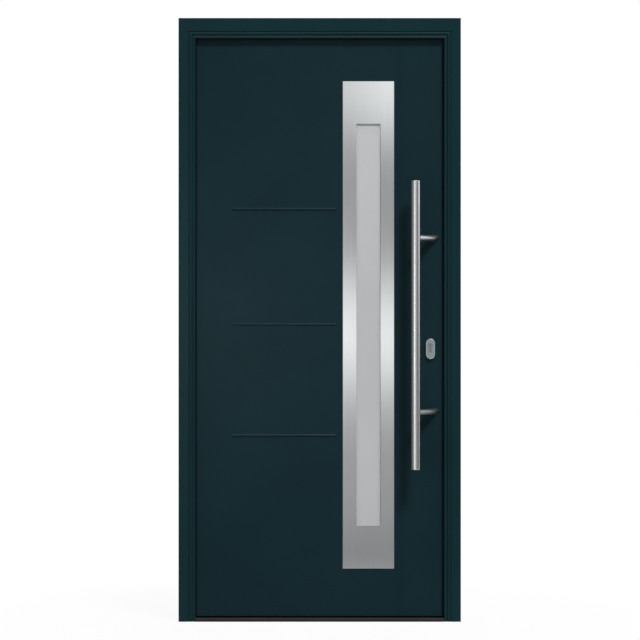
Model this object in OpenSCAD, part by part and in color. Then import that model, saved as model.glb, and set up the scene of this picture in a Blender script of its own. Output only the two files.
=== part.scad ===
// Single-leaf metal front door in its frame, seen from outside along +Y.
// X runs to the right, +Y points into the house, +Z up. The origin is the middle of the underside.

/* [Frame] */
// Overall width of the frame
frame_w = 982; // [900:1:1100]
// Overall height of the frame
frame_h = 2100; // [2050:1:2300]
// Depth of the frame from outside to inside
frame_depth = 80; // [78:1:100]
// Width of a jamb seen from outside
jamb_face = 58; // [54:1:70]
// Height of the head seen from outside
head_face = 70; // [58:1:90]
// Wall of the hollow profiles
wall = 3; // [2:0.5:4]
// Thickness of the stop in front of the leaf
stop_t = 13; // [12:0.5:16]
// How far the rebate goes back behind the edge of the stop
rebate_in = 23; // [21:0.5:26]
// Wall of the rebate, which carries the strikes
rebate_wall = 5; // [4.5:0.5:6]
// Space for the seal between the stop and the leaf
seal_gap = 7; // [6:0.5:8]
// How far the seal shows past the stop
seal_reach = 5; // [3:0.5:7]
// Height of the threshold
threshold_h = 12.5; // [12:0.5:20]
// Width of the thermal break in the threshold
break_w = 12; // [8:1:16]
// Length of a leg of a corner cleat past the corner
cleat_leg = 70; // [40:1:100]

/* [Moulding] */
// Width of the moulded strip along the inside of the stop
moulding_w = 25; // [24:0.5:28]
// Radius of the bead
bead_r = 6; // [5:0.5:7]
// Distance of the bead's middle from the edge of the stop
bead_in = 17; // [16:0.5:18]
// Depth of the quirk beside the bead
quirk_d = 2.5; // [1:0.25:4]
// Depth of the cove between the bead and the inner edge
cove_d = 4.5; // [3.5:0.25:5]
// How far the inner edge of the stop lies behind the face
nose_back = 2; // [1:0.25:3]
// Radius of the inner edge of the stop
nose_r = 3; // [2:0.5:4]

/* [Wall fixings] */
// Diameter of a fixing hole in the outer wall of a jamb
fixing_d = 10.5; // [8:0.5:12]
// Diameter of the access hole in the rebate wall
access_d = 16; // [14:0.5:18]
// Distance of the outer fixings from the ends of a jamb
fixing_end = 150; // [110:1:200]
// Distance of the inner fixings from the lock's strike
fixing_off = 215; // [150:1:260]

/* [Leaf] */
// Gap between the leaf's edge and the rebate
leaf_gap = 5; // [4:0.5:7]
// Gap between the leaf and the threshold
bottom_gap = 5; // [4:0.5:7]
// Thickness of the sheet skins
skin_t = 2; // [1.9:0.1:2.5]
// Depth of the flanges round a skin
flange_d = 18; // [14:0.5:20]
// Width of the stile on the hinge side
hinge_stile_w = 45; // [40:1:60]
// Width of the stile on the lock side
lock_stile_w = 125; // [115:1:135]
// Height of the top and bottom rails
rail_h = 60; // [50:1:80]
// Gap in a glued or seated joint
fit_gap = 0.1; // [0.05:0.05:0.2]
// Gap that a moving piece keeps
run_gap = 0.5; // [0.4:0.1:0.8]

/* [Ridges] */
// Distance of the ridges from the leaf's hinge edge
ridge_in = 146; // [120:1:170]
// Distance of the ridges from the outer surround
ridge_gap = 23; // [15:1:60]
// How far a ridge stands out of the skin
ridge_t = 3.6; // [2:0.1:4]
// Height of a ridge's upper slope
ridge_up = 5.5; // [3:0.5:8]
// Height of a ridge's lower slope
ridge_down = 1.5; // [1:0.5:3]
// Height of the low ridge
ridge_z_low = 647; // [600:1:700]
// Height of the middle ridge
ridge_z_mid = 1034; // [1000:1:1070]
// Height of the high ridge
ridge_z_high = 1436; // [1400:1:1480]

/* [Glazing] */
// Distance of the glazing's middle from the leaf's lock edge
glass_in = 281; // [271:1:286]
// Width of the clear opening
open_w = 84; // [76:1:90]
// Distance of the clear opening from the leaf's lower edge
open_low = 314; // [290:0.5:400]
// Distance of the clear opening from the leaf's upper edge
open_high = 314.5; // [290:0.5:400]
// Width of the metal at the sides of the outer surround
surround_side = 48; // [44:1:50]
// Height of the metal at the ends of the outer surround
surround_end = 149; // [130:1:155]
// Thickness of the outer surround
surround_t = 3; // [2.5:0.5:5]
// Bevel on the outer surround
surround_bevel = 1; // [0.5:0.25:2]
// Width of the inner surround round the opening
inner_margin = 40; // [36:1:46]
// Thickness of the inner surround
inner_t = 4; // [3:0.5:6]
// How far a pane reaches behind the surround
pane_lap = 15; // [13:0.5:17]
// Thickness of the outer pane
outer_pane_t = 6; // [5:0.5:7]
// Thickness of the middle pane
middle_pane_t = 4; // [3:0.5:5]
// Thickness of the inner pane
inner_pane_t = 6; // [5:0.5:7]
// Gap between two panes
cavity = 12; // [10:0.5:12]
// Thickness of the outer glazing tape
tape_t = 1.5; // [1:0.25:2.5]
// Room round the panes in the glazing frame
pane_room = 2; // [1:0.5:3]
// Wall of the glazing frame
glazing_wall = 10; // [8:0.5:12]
// Width of a spacer between the panes
spacer_w = 7; // [5:0.5:8]

/* [Pull bar] */
// Diameter of the bar
bar_d = 32; // [28:0.5:36]
// Length of the bar
bar_l = 1000; // [900:1:1100]
// Wall of the bar's tube
bar_wall = 2; // [1.5:0.25:3]
// Distance of the bar from the leaf's lock edge
bar_in = 119; // [117:1:125]
// Height of the middle of the bar
bar_z = 1032; // [1000:1:1060]
// Distance of the bar's axis from the leaf
bar_off = 70; // [66:1:74]
// Thickness of an end cap
cap_t = 11; // [8:0.5:14]
// Diameter of a post
post_d = 22; // [18:0.5:24]
// Distance between the posts
post_span = 604; // [500:1:640]
// Diameter of a post's bolt
post_bolt_d = 6; // [5:0.5:6]
// Depth of a post's bolt in the post
post_bolt_in = 10; // [8:0.5:11]

/* [Lock] */
// Distance of the lock's axis from the leaf's edge
backset = 65; // [62:0.5:68]
// Height of the key plug
plug_z = 961; // [950:1:970]
// Height of the lever's axis over the key plug
lever_rise = 92; // [92:1:94]
// Width of the faceplate
faceplate_w = 20; // [18:0.5:22]
// Thickness of the faceplate
faceplate_t = 3; // [2.5:0.25:3.5]
// Thickness of the lock cases
case_t = 16; // [15.5:0.5:18]
// Wall of the lock cases
case_wall = 1.5; // [1.2:0.1:1.5]
// Thickness of the latch bolt and the dead bolt
bolt_t = 12; // [10:0.5:12]
// Height of the latch bolt and the dead bolt
bolt_h = 32; // [28:1:33]
// Throw of the latch bolt
latch_throw = 12; // [10:0.5:12]
// Length of the dead bolt
dead_l = 38; // [34:1:39]
// Distance of the upper swing bolt's pivot from the leaf's upper edge
upper_bolt_in = 288; // [248:1:348]
// Height of the lower swing bolt's pivot
lower_bolt_z = 300; // [280:1:340]
// Reach of a swing bolt from its pivot
swing_reach = 34; // [32:0.5:35]
// Width of a swing bolt
swing_w = 14; // [12:0.5:15]
// Thickness of a swing bolt
swing_t = 8; // [7:0.5:9]
// Diameter of a swing bolt's pivot
swing_pin_d = 8; // [6:0.5:8]
// Stroke of the drive rods
rod_stroke = 20; // [16:0.5:20]
// Width of a drive rod
rod_w = 8; // [7:0.5:9]
// Thickness of a drive rod
rod_t = 5; // [4:0.5:5]
// Thickness of a strike
strike_t = 2.5; // [2:0.25:3]
// Width of a strike
strike_w = 24; // [22:0.5:26]

/* [Lock furniture] */
// Width of an escutcheon
esc_w = 33; // [31:0.5:36]
// Height of an escutcheon
esc_h = 71; // [69:0.5:74]
// Thickness of an escutcheon
esc_t = 9; // [8:0.5:11]
// How far an escutcheon's middle lies under the key plug
esc_drop = 12; // [11:0.5:13]
// Width of an escutcheon's rim
esc_rim = 4; // [3:0.5:5]
// Depth of the field inside the rim
esc_sink = 2; // [1.5:0.25:2.5]
// Chamfer round the front of the furniture
trim_chamfer = 1.5; // [1:0.25:2]
// Diameter of the key plug
plug_d = 13; // [12:0.25:13]
// Diameter of the lever's rosette
rosette_d = 52; // [48:1:56]
// Thickness of the lever's rosette
rosette_t = 8; // [6:0.5:9]
// Diameter of the lever's neck and grip
lever_d = 19; // [18:0.5:21]
// Length of the lever from its axis
lever_l = 135; // [120:1:140]
// Distance of the grip's axis from the leaf
lever_off = 58; // [54:1:64]
// Radius of the bend between the neck and the grip
lever_bend = 16; // [15:0.5:20]
// Side of the square spindle
spindle_a = 8; // [7:0.5:8]

/* [Hinges] */
// Height of the low hinge
hinge_z_low = 250; // [220:1:330]
// Height of the middle hinge
hinge_z_mid = 1050; // [1000:1:1100]
// Distance of the high hinge from the leaf's upper edge
hinge_in_high = 248; // [198:1:348]
// Diameter of a hinge's barrel
barrel_d = 20; // [18:0.5:21]
// Height of one of the three knuckles
knuckle_h = 33; // [28:0.5:40]
// Diameter of a hinge pin
hinge_pin_d = 10; // [8:0.5:10]
// Running clearance round a hinge pin
pin_gap = 0.05; // [0.03:0.01:0.08]
// Distance of the hinge's axis from the leaf
hinge_off = 12; // [11.5:0.5:13]
// Thickness of a hinge's wing
wing_t = 6; // [5:0.5:7]
// Width of the leaf's wing past the barrel
leaf_wing_w = 34; // [28:0.5:40]
// Diameter of the wing screws
wing_screw_d = 5; // [4:0.5:5.5]

/* [Hidden] */
$fn = 64;
teal = [0.085, 0.17, 0.19];
steel = [0.72, 0.72, 0.71];
zinc = [0.6, 0.61, 0.62];
black = [0.05, 0.05, 0.05];
timber = [0.72, 0.56, 0.38];
half_w = frame_w / 2;
front_y = -frame_depth / 2;
back_y = frame_depth / 2;
stop_y = front_y + stop_t;
leaf_y0 = stop_y + seal_gap;
leaf_y1 = back_y;
lock_y = (leaf_y0 + leaf_y1) / 2;
jamb_rebate = jamb_face - rebate_in;
head_rebate = head_face - rebate_in;
chamber_edge = rebate_in + rebate_wall;
web_in = 13;
web_y = lock_y - web_in;
rebate_x = half_w - jamb_rebate;
leaf_x1 = rebate_x - leaf_gap;
leaf_x0 = -leaf_x1;
leaf_z0 = threshold_h + bottom_gap;
leaf_z1 = frame_h - head_rebate - leaf_gap;
seal_foot_w = 4;
seal_foot_in = bead_in;
seal_foot_d = 4.5;
seal_squash = 0.4;
seal_rib_w = 8;
seal_rib_h = 8;
stile_x0 = leaf_x0 + skin_t;
stile_x1 = leaf_x1 - skin_t;
core_x0 = stile_x0 + hinge_stile_w;
core_x1 = stile_x1 - lock_stile_w;
rail_z0 = leaf_z0 + skin_t;
rail_z1 = leaf_z1 - skin_t;
// Glazing pack from outside to inside
glass_x = leaf_x1 - glass_in;
open_z0 = leaf_z0 + open_low;
open_z1 = leaf_z1 - open_high;
open_h = open_z1 - open_z0;
glass_z = (open_z0 + open_z1) / 2;
surround_x0 = glass_x - open_w / 2 - surround_side;
outer_pane_y = leaf_y0 + tape_t;
middle_pane_y = outer_pane_y + outer_pane_t + cavity;
inner_pane_y = middle_pane_y + middle_pane_t + cavity;
inner_tape_y = inner_pane_y + inner_pane_t;
pane_w = open_w + 2 * pane_lap;
pane_h = open_h + 2 * pane_lap;
niche_w = pane_w + 2 * pane_room;
niche_h = pane_h + 2 * pane_room;
cutout_w = niche_w + 2 * glazing_wall;
cutout_h = niche_h + 2 * glazing_wall;
spacer_in = 4;
tape_show = 1;
tape_in = 1;
bead_lip = pane_lap - 3;
// Lock
lock_x = leaf_x1 - backset;
lever_z = plug_z + lever_rise;
dead_rise = 11;
dead_z = plug_z + dead_rise;
upper_bolt_z = leaf_z1 - upper_bolt_in;
plate_sink = 0.5;
plate_x1 = leaf_x1 - plate_sink;
plate_x0 = plate_x1 - faceplate_t;
case_back = 30;
case_below = 56;
case_above = 52;
case_x0 = lock_x - case_back;
case_z0 = plug_z - case_below;
case_z1 = lever_z + case_above;
cam_r = 15;
cam_t = 9.6;
cam_room = 10.2;
body_r = 8.5;
web_w = 10;
web_drop = 24.5;
web_bridge = 9;
screw_drop = 20;
cylinder_screw_d = 5;
esc_screw_d = 4;
esc_screw_up = 19;
esc_screw_down = 39;
esc_z = plug_z - esc_drop;
cylinder_proud = 0.5;
cylinder_y0 = leaf_y0 - esc_t + esc_sink - cylinder_proud;
cylinder_y1 = leaf_y1 + esc_t - esc_sink + cylinder_proud;
follower_r = 9;
arm_r = 20;
arm_w = 6;
tail_low = 13;
tail_high = 21;
tail_z0 = lever_z + tail_low;
tail_z1 = lever_z + tail_high;
tail_w = 3.4;
spindle_in_lever = 12;
latch_body = 25;
pivot_in = 14;
pivot_x = plate_x0 - pivot_in;
swing_case_back = 45;
swing_case_x0 = plate_x0 - swing_case_back;
swing_case_down = 75;
swing_case_up = 45;
rod_x1 = plate_x0 - run_gap;
rod_x0 = rod_x1 - rod_t;
upper_rod_in = 10;
lower_rod_in = 5;
rod_end_gap = 3;
upper_rod_z0 = case_z1 - upper_rod_in;
upper_rod_z1 = upper_bolt_z - swing_reach - rod_stroke - rod_end_gap;
lower_rod_z0 = lower_bolt_z + swing_w / 2 + rod_end_gap;
lower_rod_z1 = case_z0 + lower_rod_in;
plate_over = 25;
plate_z0 = lower_bolt_z - swing_case_down - plate_over;
plate_z1 = upper_bolt_z + swing_case_up + plate_over;
plate_screw_d = 4;
plate_screw_l = 22;
plate_screw_end = 12;
plate_screw_off = 40;
plate_screw_z = [plate_z0 + plate_screw_end, lower_bolt_z + swing_case_up + plate_screw_off,
    case_z0 - plate_screw_off, case_z1 + plate_screw_off,
    upper_bolt_z - swing_case_down - plate_screw_off, plate_z1 - plate_screw_end];
strike_margin = 26;
strike_screw_l = 16;
main_strike_z0 = dead_z - bolt_h / 2 - strike_margin;
main_strike_z1 = lever_z + bolt_h / 2 + strike_margin;
fixing_rows = [fixing_end, main_strike_z0 - fixing_off, main_strike_z1 + fixing_off, frame_h - fixing_end];
swing_below = sqrt(pow(swing_reach, 2) - pow(plate_x0 - pivot_x, 2)) + 1.5;
swing_above = swing_w / 2 + 2;
// Pull bar
bar_x = leaf_x1 - bar_in;
bar_y = leaf_y0 - bar_off;
cap_joint = 0.6;
post_foot_x = bar_x + bar_off;
post_bolt_back = 5;
post_bolt_x = post_foot_x - post_bolt_back;
post_z = [bar_z - post_span / 2, bar_z + post_span / 2];
bolt_head_d = 10;
bolt_head_t = 4;
bolt_cap_d = 20;
bolt_cap_t = 7;
// Hinges
hinge_x = (leaf_x0 - rebate_x) / 2;
hinge_y = leaf_y1 + hinge_off;
hinge_z = [hinge_z_low, hinge_z_mid, leaf_z1 - hinge_in_high];
barrel_h = 3 * knuckle_h;
barrel_room = 1.5;
knuckle_gap = 0.4;
wing_edge = 2;
screw_head_t = 2.5;
screw_way = 5;
wing_screw_l = 20;

// Points of an arc, for an outline
function arc(c, r, a0, a1, n = 10) =
    [for (i = [0:n]) c + r * [cos(a0 + (a1 - a0) * i / n), sin(a0 + (a1 - a0) * i / n)]];

// Angle at which the bead comes out of the quirk
function bead_start() = -180 + asin((bead_r - quirk_d) / bead_r);

// Angle at which the bead meets the cove
function bead_end() = -asin((bead_r - cove_d) / bead_r);

// Outline of a frame member: first value across the face, second from outside to inside
function member(face) = concat(
    [[0, 0], [face - moulding_w, 0], [face - moulding_w, quirk_d]],
    arc([face - bead_in, bead_r], bead_r, bead_start(), bead_end()),
    arc([face - nose_r, nose_back + nose_r], nose_r, -90, 0),
    [[face, stop_t], [face - rebate_in, stop_t], [face - rebate_in, frame_depth], [0, frame_depth]]);

// A box between two corners
module box(a, b) {
    translate(a) cube(b - a);
}

// A round bar along X, Y or Z
module bar_along_x(x0, x1, y, z, r) {
    translate([x0, y, z]) rotate([0, 90, 0]) cylinder(r = r, h = x1 - x0);
}

module bar_along_y(x, y0, y1, z, r) {
    translate([x, y1, z]) rotate([90, 0, 0]) cylinder(r = r, h = y1 - y0);
}

module bar_along_z(x, y, z0, z1, r) {
    translate([x, y, z0]) cylinder(r = r, h = z1 - z0);
}

// A flat shape drawn in X and Z, thick along Y
module slab(y0, y1) {
    translate([0, y1, 0]) rotate([90, 0, 0]) linear_extrude(y1 - y0) children();
}

// A rectangle in X and Z about the middle of the glazing
module pane_rect(w, h) {
    translate([glass_x - w / 2, glass_z - h / 2]) square([w, h]);
}

// A rectangular ring about the middle of the glazing
module pane_ring(w_out, h_out, w_in, h_in, y0, y1) {
    slab(y0, y1) difference() {
        pane_rect(w_out, h_out);
        pane_rect(w_in, h_in);
    }
}

// An upright oblong with round ends, as wide as twice its radius
module oblong(x, z_mid, r, length) {
    straight = length - 2 * r;
    translate([x - r, z_mid - straight / 2]) square([2 * r, straight]);
    translate([x, z_mid - straight / 2]) circle(r);
    translate([x, z_mid + straight / 2]) circle(r);
}

// The profile of the key cylinder, grown by a clearance
module cylinder_profile(grow) {
    translate([lock_x, plug_z]) {
        circle(body_r + grow);
        translate([-web_w / 2 - grow, -web_drop - grow]) square([web_w + 2 * grow, web_drop + grow]);
    }
}

// A countersunk screw along +Z from the top of its head, grown by a clearance
module screw(d, length, grow = 0) {
    cylinder(d1 = 2 * d + 4 * grow, d2 = d + 2 * grow, h = screw_head_t);
    translate([0, 0, screw_head_t]) cylinder(d = d + 2 * grow, h = length - screw_head_t + grow);
}

// The hole for such a screw, open above its head
module screw_hole(d, length) {
    screw(d, length, fit_gap);
    translate([0, 0, -screw_way]) cylinder(d = 2 * d + 4 * fit_gap, h = screw_way);
}

// Place a screw with its head at a point, facing +Y
module facing_inside(x, y, z) {
    translate([x, y, z]) rotate([90, 0, 0]) children();
}

// Place a screw with its head at a point, pointing along X in the given way
module pointing_x(x, y, z, way) {
    translate([x, y, z]) rotate([0, 90 * way, 0]) children();
}

// Frame
// The left jamb's outline in the mitre, seen from outside
module jamb_outline() {
    polygon([[-half_w, 0], [-half_w, frame_h - fit_gap],
        [-half_w + jamb_face - chamber_edge, frame_h - head_face + chamber_edge - fit_gap],
        [-half_w + jamb_face, frame_h - head_face - fit_gap], [-half_w + jamb_face, 0]]);
}

// A left jamb before its holes for the hardware
module plain_jamb() {
    chamber_x1 = -half_w + jamb_face - chamber_edge;
    seal_x = -half_w + jamb_face - seal_foot_in;
    difference() {
        intersection() {
            translate([-half_w, front_y, 0]) linear_extrude(frame_h) polygon(member(jamb_face));
            slab(front_y - 1, back_y + 1) jamb_outline();
        }
        box([-half_w + wall, front_y + wall, -1], [chamber_x1, web_y - wall / 2, frame_h]);
        box([-half_w + wall, web_y + wall / 2, -1], [chamber_x1, back_y - wall, frame_h]);
        box([seal_x - seal_foot_w / 2 - fit_gap, stop_y - seal_foot_d - fit_gap, -1],
            [seal_x + seal_foot_w / 2 + fit_gap, stop_y + 1, frame_h]);
        for (z = fixing_rows) {
            bar_along_x(-half_w - 1, -half_w + wall + 1, lock_y, z, fixing_d / 2);
            bar_along_x(chamber_x1 - 1, -rebate_x + 1, lock_y, z, access_d / 2);
        }
    }
}

module hinge_jamb() {
    color(teal) difference() {
        plain_jamb();
        for (z = hinge_z, s = wing_screw_rows()) {
            facing_inside(frame_screw_x(), back_y + wing_t, z + s) screw_hole(wing_screw_d, wing_screw_l);
        }
    }
}

module lock_jamb() {
    color(teal) difference() {
        mirror([1, 0, 0]) plain_jamb();
        strike_seat(main_strike_z0, main_strike_z1);
        for (z = [lower_bolt_z, upper_bolt_z]) {
            strike_seat(swing_strike_z0(z), swing_strike_z1(z));
            swing_way(z, 0, rebate_x + strike_t - 1, rebate_x + rebate_wall + 1);
        }
        latch_way(0, rebate_x + strike_t - 1, rebate_x + rebate_wall + 1);
        dead_way(0, rebate_x + strike_t - 1, rebate_x + rebate_wall + 1);
        strike_screw_set(true);
    }
}

module head() {
    chamber_z0 = frame_h - head_face + chamber_edge;
    seal_z = frame_h - head_face + seal_foot_in;
    outline = [for (p = member(head_face)) [front_y + p[1], frame_h - p[0]]];
    color(teal) difference() {
        intersection() {
            translate([-half_w, 0, 0]) rotate([90, 0, 90]) linear_extrude(frame_w) polygon(outline);
            slab(front_y - 1, back_y + 1) polygon([[-half_w, frame_h],
                [-half_w + jamb_face - chamber_edge, chamber_z0],
                [-half_w + jamb_face, frame_h - head_face],
                [half_w - jamb_face, frame_h - head_face],
                [half_w - jamb_face + chamber_edge, chamber_z0], [half_w, frame_h]]);
        }
        box([-half_w, front_y + wall, chamber_z0], [half_w, web_y - wall / 2, frame_h - wall]);
        box([-half_w, web_y + wall / 2, chamber_z0], [half_w, back_y - wall, frame_h - wall]);
        box([-half_w, stop_y - seal_foot_d - fit_gap, seal_z - seal_foot_w / 2 - fit_gap],
            [half_w, stop_y + 1, seal_z + seal_foot_w / 2 + fit_gap]);
    }
}

// The threshold is narrower between the stops than between the rebates
module threshold() {
    slope = threshold_h * 0.4;
    nose_x = half_w - jamb_face - fit_gap;
    wide_x = rebate_x - fit_gap;
    break_y = lock_y - break_w / 2 - fit_gap;
    tread_w = 3;
    color([0.21, 0.19, 0.185]) difference() {
        union() {
            translate([-nose_x, 0, 0]) rotate([90, 0, 90]) linear_extrude(2 * nose_x)
                polygon([[front_y, 0], [front_y, threshold_h - slope], [front_y + slope, threshold_h],
                    [break_y, threshold_h], [break_y, 0]]);
            box([-wide_x, stop_y + fit_gap, 0], [wide_x, break_y, threshold_h]);
        }
        for (i = [1:3]) {
            y = front_y + slope + i * 2 * tread_w;
            box([-half_w, y, threshold_h - 1], [half_w, y + tread_w / 2, threshold_h + 1]);
        }
    }
}

module threshold_break() {
    wide_x = rebate_x - fit_gap;
    color(black) box([-wide_x, lock_y - break_w / 2, 0], [wide_x, lock_y + break_w / 2, threshold_h]);
}

module threshold_inner() {
    wide_x = rebate_x - fit_gap;
    color([0.21, 0.19, 0.185])
        box([-wide_x, lock_y + break_w / 2 + fit_gap, 0], [wide_x, back_y, threshold_h]);
}

// A cleat fills the inner chambers of a jamb and the head at their corner
module corner_cleats() {
    x0 = -half_w + wall + fit_gap;
    x1 = -half_w + jamb_face - chamber_edge - fit_gap;
    z1 = frame_h - wall - fit_gap;
    z0 = frame_h - head_face + chamber_edge + fit_gap;
    y0 = web_y + wall / 2 + fit_gap;
    y1 = back_y - wall - fit_gap;
    color(zinc) for (side = [0, 1]) {
        mirror([side, 0, 0]) union() {
            box([x0, y0, z0 - cleat_leg], [x1, y1, z1]);
            box([x0, y0, z0], [x1 + cleat_leg, y1, z1]);
        }
    }
}

// One soft seal for each jamb and one for the head, each with a foot in the stop
module frame_seals() {
    body_in = seal_foot_in + seal_foot_w;
    y0 = stop_y + fit_gap;
    y1 = leaf_y0 - seal_squash;
    edge_x = half_w - jamb_face;
    edge_z = frame_h - head_face;
    color(black) {
        for (side = [0, 1]) {
            mirror([side, 0, 0]) union() {
                box([-edge_x - body_in, y0, threshold_h + seal_squash],
                    [-edge_x + seal_reach, y1, edge_z - seal_reach - fit_gap]);
                box([-edge_x - seal_foot_in - seal_foot_w / 2, y0 - seal_foot_d, threshold_h + seal_squash],
                    [-edge_x - seal_foot_in + seal_foot_w / 2, y0 + 1, edge_z - seal_reach - fit_gap]);
            }
        }
        union() {
            box([-edge_x - body_in, y0, edge_z - seal_reach], [edge_x + body_in, y1, edge_z + body_in]);
            box([-edge_x, y0 - seal_foot_d, edge_z + seal_foot_in - seal_foot_w / 2],
                [edge_x, y0 + 1, edge_z + seal_foot_in + seal_foot_w / 2]);
        }
    }
}

// Strikes
function swing_strike_z0(z) = z - swing_reach - strike_margin / 2;
function swing_strike_z1(z) = z + swing_above + strike_margin / 2 + 6;
function strike_screw_z() = [main_strike_z0 + 8, main_strike_z1 - 8,
    swing_strike_z0(lower_bolt_z) + 6, swing_strike_z1(lower_bolt_z) - 6,
    swing_strike_z0(upper_bolt_z) + 6, swing_strike_z1(upper_bolt_z) - 6];

module strike_seat(z0, z1) {
    box([rebate_x - 1, lock_y - strike_w / 2 - fit_gap, z0 - fit_gap],
        [rebate_x + strike_t + fit_gap, lock_y + strike_w / 2 + fit_gap, z1 + fit_gap]);
}

// Openings that the bolts enter, from x0 to x1
module latch_way(grow, x0, x1) {
    room = 1 + grow;
    box([x0, lock_y - bolt_t / 2 - room, lever_z - bolt_h / 2 - room],
        [x1, lock_y + bolt_t / 2 + room, lever_z + bolt_h / 2 + room]);
}

module dead_way(grow, x0, x1) {
    room = 1 + grow;
    box([x0, lock_y - bolt_t / 2 - room, dead_z - bolt_h / 2 - room],
        [x1, lock_y + bolt_t / 2 + room, dead_z + bolt_h / 2 + room]);
}

module swing_way(z, grow, x0, x1) {
    room = 0.75 + grow;
    box([x0, lock_y - swing_t / 2 - room, z - swing_below],
        [x1, lock_y + swing_t / 2 + room, z + swing_above]);
}

module strike_screw_set(hole) {
    for (z = strike_screw_z()) {
        pointing_x(rebate_x, lock_y, z, 1) {
            if (hole) screw_hole(plate_screw_d, strike_screw_l);
            else screw(plate_screw_d, strike_screw_l);
        }
    }
}

module main_strike() {
    color(steel) difference() {
        box([rebate_x, lock_y - strike_w / 2, main_strike_z0],
            [rebate_x + strike_t, lock_y + strike_w / 2, main_strike_z1]);
        latch_way(0, rebate_x - 1, rebate_x + strike_t + 1);
        dead_way(0, rebate_x - 1, rebate_x + strike_t + 1);
        strike_screw_set(true);
    }
}

module swing_bolt_strikes() {
    color(steel) for (z = [lower_bolt_z, upper_bolt_z]) {
        difference() {
            box([rebate_x, lock_y - strike_w / 2, swing_strike_z0(z)],
                [rebate_x + strike_t, lock_y + strike_w / 2, swing_strike_z1(z)]);
            swing_way(z, 0, rebate_x - 1, rebate_x + strike_t + 1);
            strike_screw_set(true);
        }
    }
}

module strike_screws() {
    color(zinc) strike_screw_set(false);
}

// Hinges
function wing_screw_rows() = [-knuckle_h, knuckle_h];
function frame_wing_x0() = -half_w + wing_edge;
function frame_wing_x1() = hinge_x - barrel_d / 2 - barrel_room;
function frame_screw_x() = (frame_wing_x0() + frame_wing_x1()) / 2;
function leaf_wing_x0() = hinge_x + barrel_d / 2 + barrel_room;
function leaf_screw_x() = leaf_wing_x0() + leaf_wing_w * 0.6;

module hinge_frame_wings() {
    y1 = back_y + wing_t;
    color(steel) for (z = hinge_z) {
        difference() {
            union() {
                box([frame_wing_x0(), back_y, z - barrel_h / 2], [frame_wing_x1(), y1, z + barrel_h / 2]);
                for (z0 = [z - barrel_h / 2, z + knuckle_h / 2]) {
                    box([frame_wing_x1() - 1, back_y, z0], [hinge_x, y1, z0 + knuckle_h]);
                    bar_along_z(hinge_x, hinge_y, z0, z0 + knuckle_h, barrel_d / 2);
                }
            }
            bar_along_z(hinge_x, hinge_y, z - barrel_h, z + barrel_h, hinge_pin_d / 2 + pin_gap);
            for (s = wing_screw_rows()) {
                facing_inside(frame_screw_x(), y1, z + s) screw_hole(wing_screw_d, wing_screw_l);
            }
        }
    }
}

module hinge_leaf_wings() {
    y1 = leaf_y1 + wing_t;
    low = -knuckle_h / 2 + knuckle_gap;
    color(steel) for (z = hinge_z) {
        difference() {
            union() {
                box([leaf_wing_x0(), leaf_y1, z - barrel_h / 2],
                    [leaf_wing_x0() + leaf_wing_w, y1, z + barrel_h / 2]);
                box([hinge_x, leaf_y1 + barrel_room, z + low], [leaf_wing_x0() + 1, y1, z - low]);
                bar_along_z(hinge_x, hinge_y, z + low, z - low, barrel_d / 2);
            }
            bar_along_z(hinge_x, hinge_y, z - barrel_h, z + barrel_h, hinge_pin_d / 2 + pin_gap);
            for (s = wing_screw_rows()) {
                facing_inside(leaf_screw_x(), y1, z + s) screw_hole(wing_screw_d, wing_screw_l);
            }
        }
    }
}

// A pin has a chamfered head above and below its barrel
module hinge_pins() {
    head_t = 4;
    head_chamfer = 1;
    head_r = barrel_d / 2 - head_chamfer;
    r = hinge_pin_d / 2;
    top = barrel_h / 2;
    color(steel) for (z = hinge_z) {
        translate([hinge_x, hinge_y, z]) rotate_extrude() polygon([[0, -top - head_t],
            [head_r - head_chamfer, -top - head_t], [head_r, -top - head_t + head_chamfer], [head_r, -top],
            [r, -top], [r, top], [head_r, top], [head_r, top + head_t - head_chamfer],
            [head_r - head_chamfer, top + head_t], [0, top + head_t]]);
    }
}

module hinge_frame_screws() {
    color(zinc) for (z = hinge_z, s = wing_screw_rows()) {
        facing_inside(frame_screw_x(), back_y + wing_t, z + s) screw(wing_screw_d, wing_screw_l);
    }
}

module hinge_leaf_screw_set(hole) {
    for (z = hinge_z, s = wing_screw_rows()) {
        facing_inside(leaf_screw_x(), leaf_y1 + wing_t, z + s) {
            if (hole) screw_hole(wing_screw_d, wing_screw_l);
            else screw(wing_screw_d, wing_screw_l);
        }
    }
}

module hinge_leaf_screws() {
    color(zinc) hinge_leaf_screw_set(false);
}

// Leaf
// Holes that go through the leaf from outside to inside
module leaf_holes() {
    y0 = leaf_y0 - 1;
    y1 = leaf_y1 + 1;
    slab(y0, y1) pane_rect(cutout_w + 2 * fit_gap, cutout_h + 2 * fit_gap);
    slab(y0, y1) cylinder_profile(1);
    for (z = post_z) {
        bar_along_y(post_bolt_x, y0, y1, z, post_bolt_d / 2 + fit_gap);
    }
    for (z = [plug_z + esc_screw_up, plug_z - esc_screw_down]) {
        bar_along_y(lock_x, y0, y1, z, esc_screw_d / 2 + fit_gap);
    }
}

// A tray of sheet with flanges that point to +Y from y0
module skin_tray(y0, y1, sheet_y0, sheet_y1) {
    difference() {
        box([leaf_x0, y0, leaf_z0], [leaf_x1, y1, leaf_z1]);
        box([leaf_x0 + skin_t, sheet_y0, leaf_z0 + skin_t], [leaf_x1 - skin_t, sheet_y1, leaf_z1 - skin_t]);
        leaf_holes();
    }
}

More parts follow.
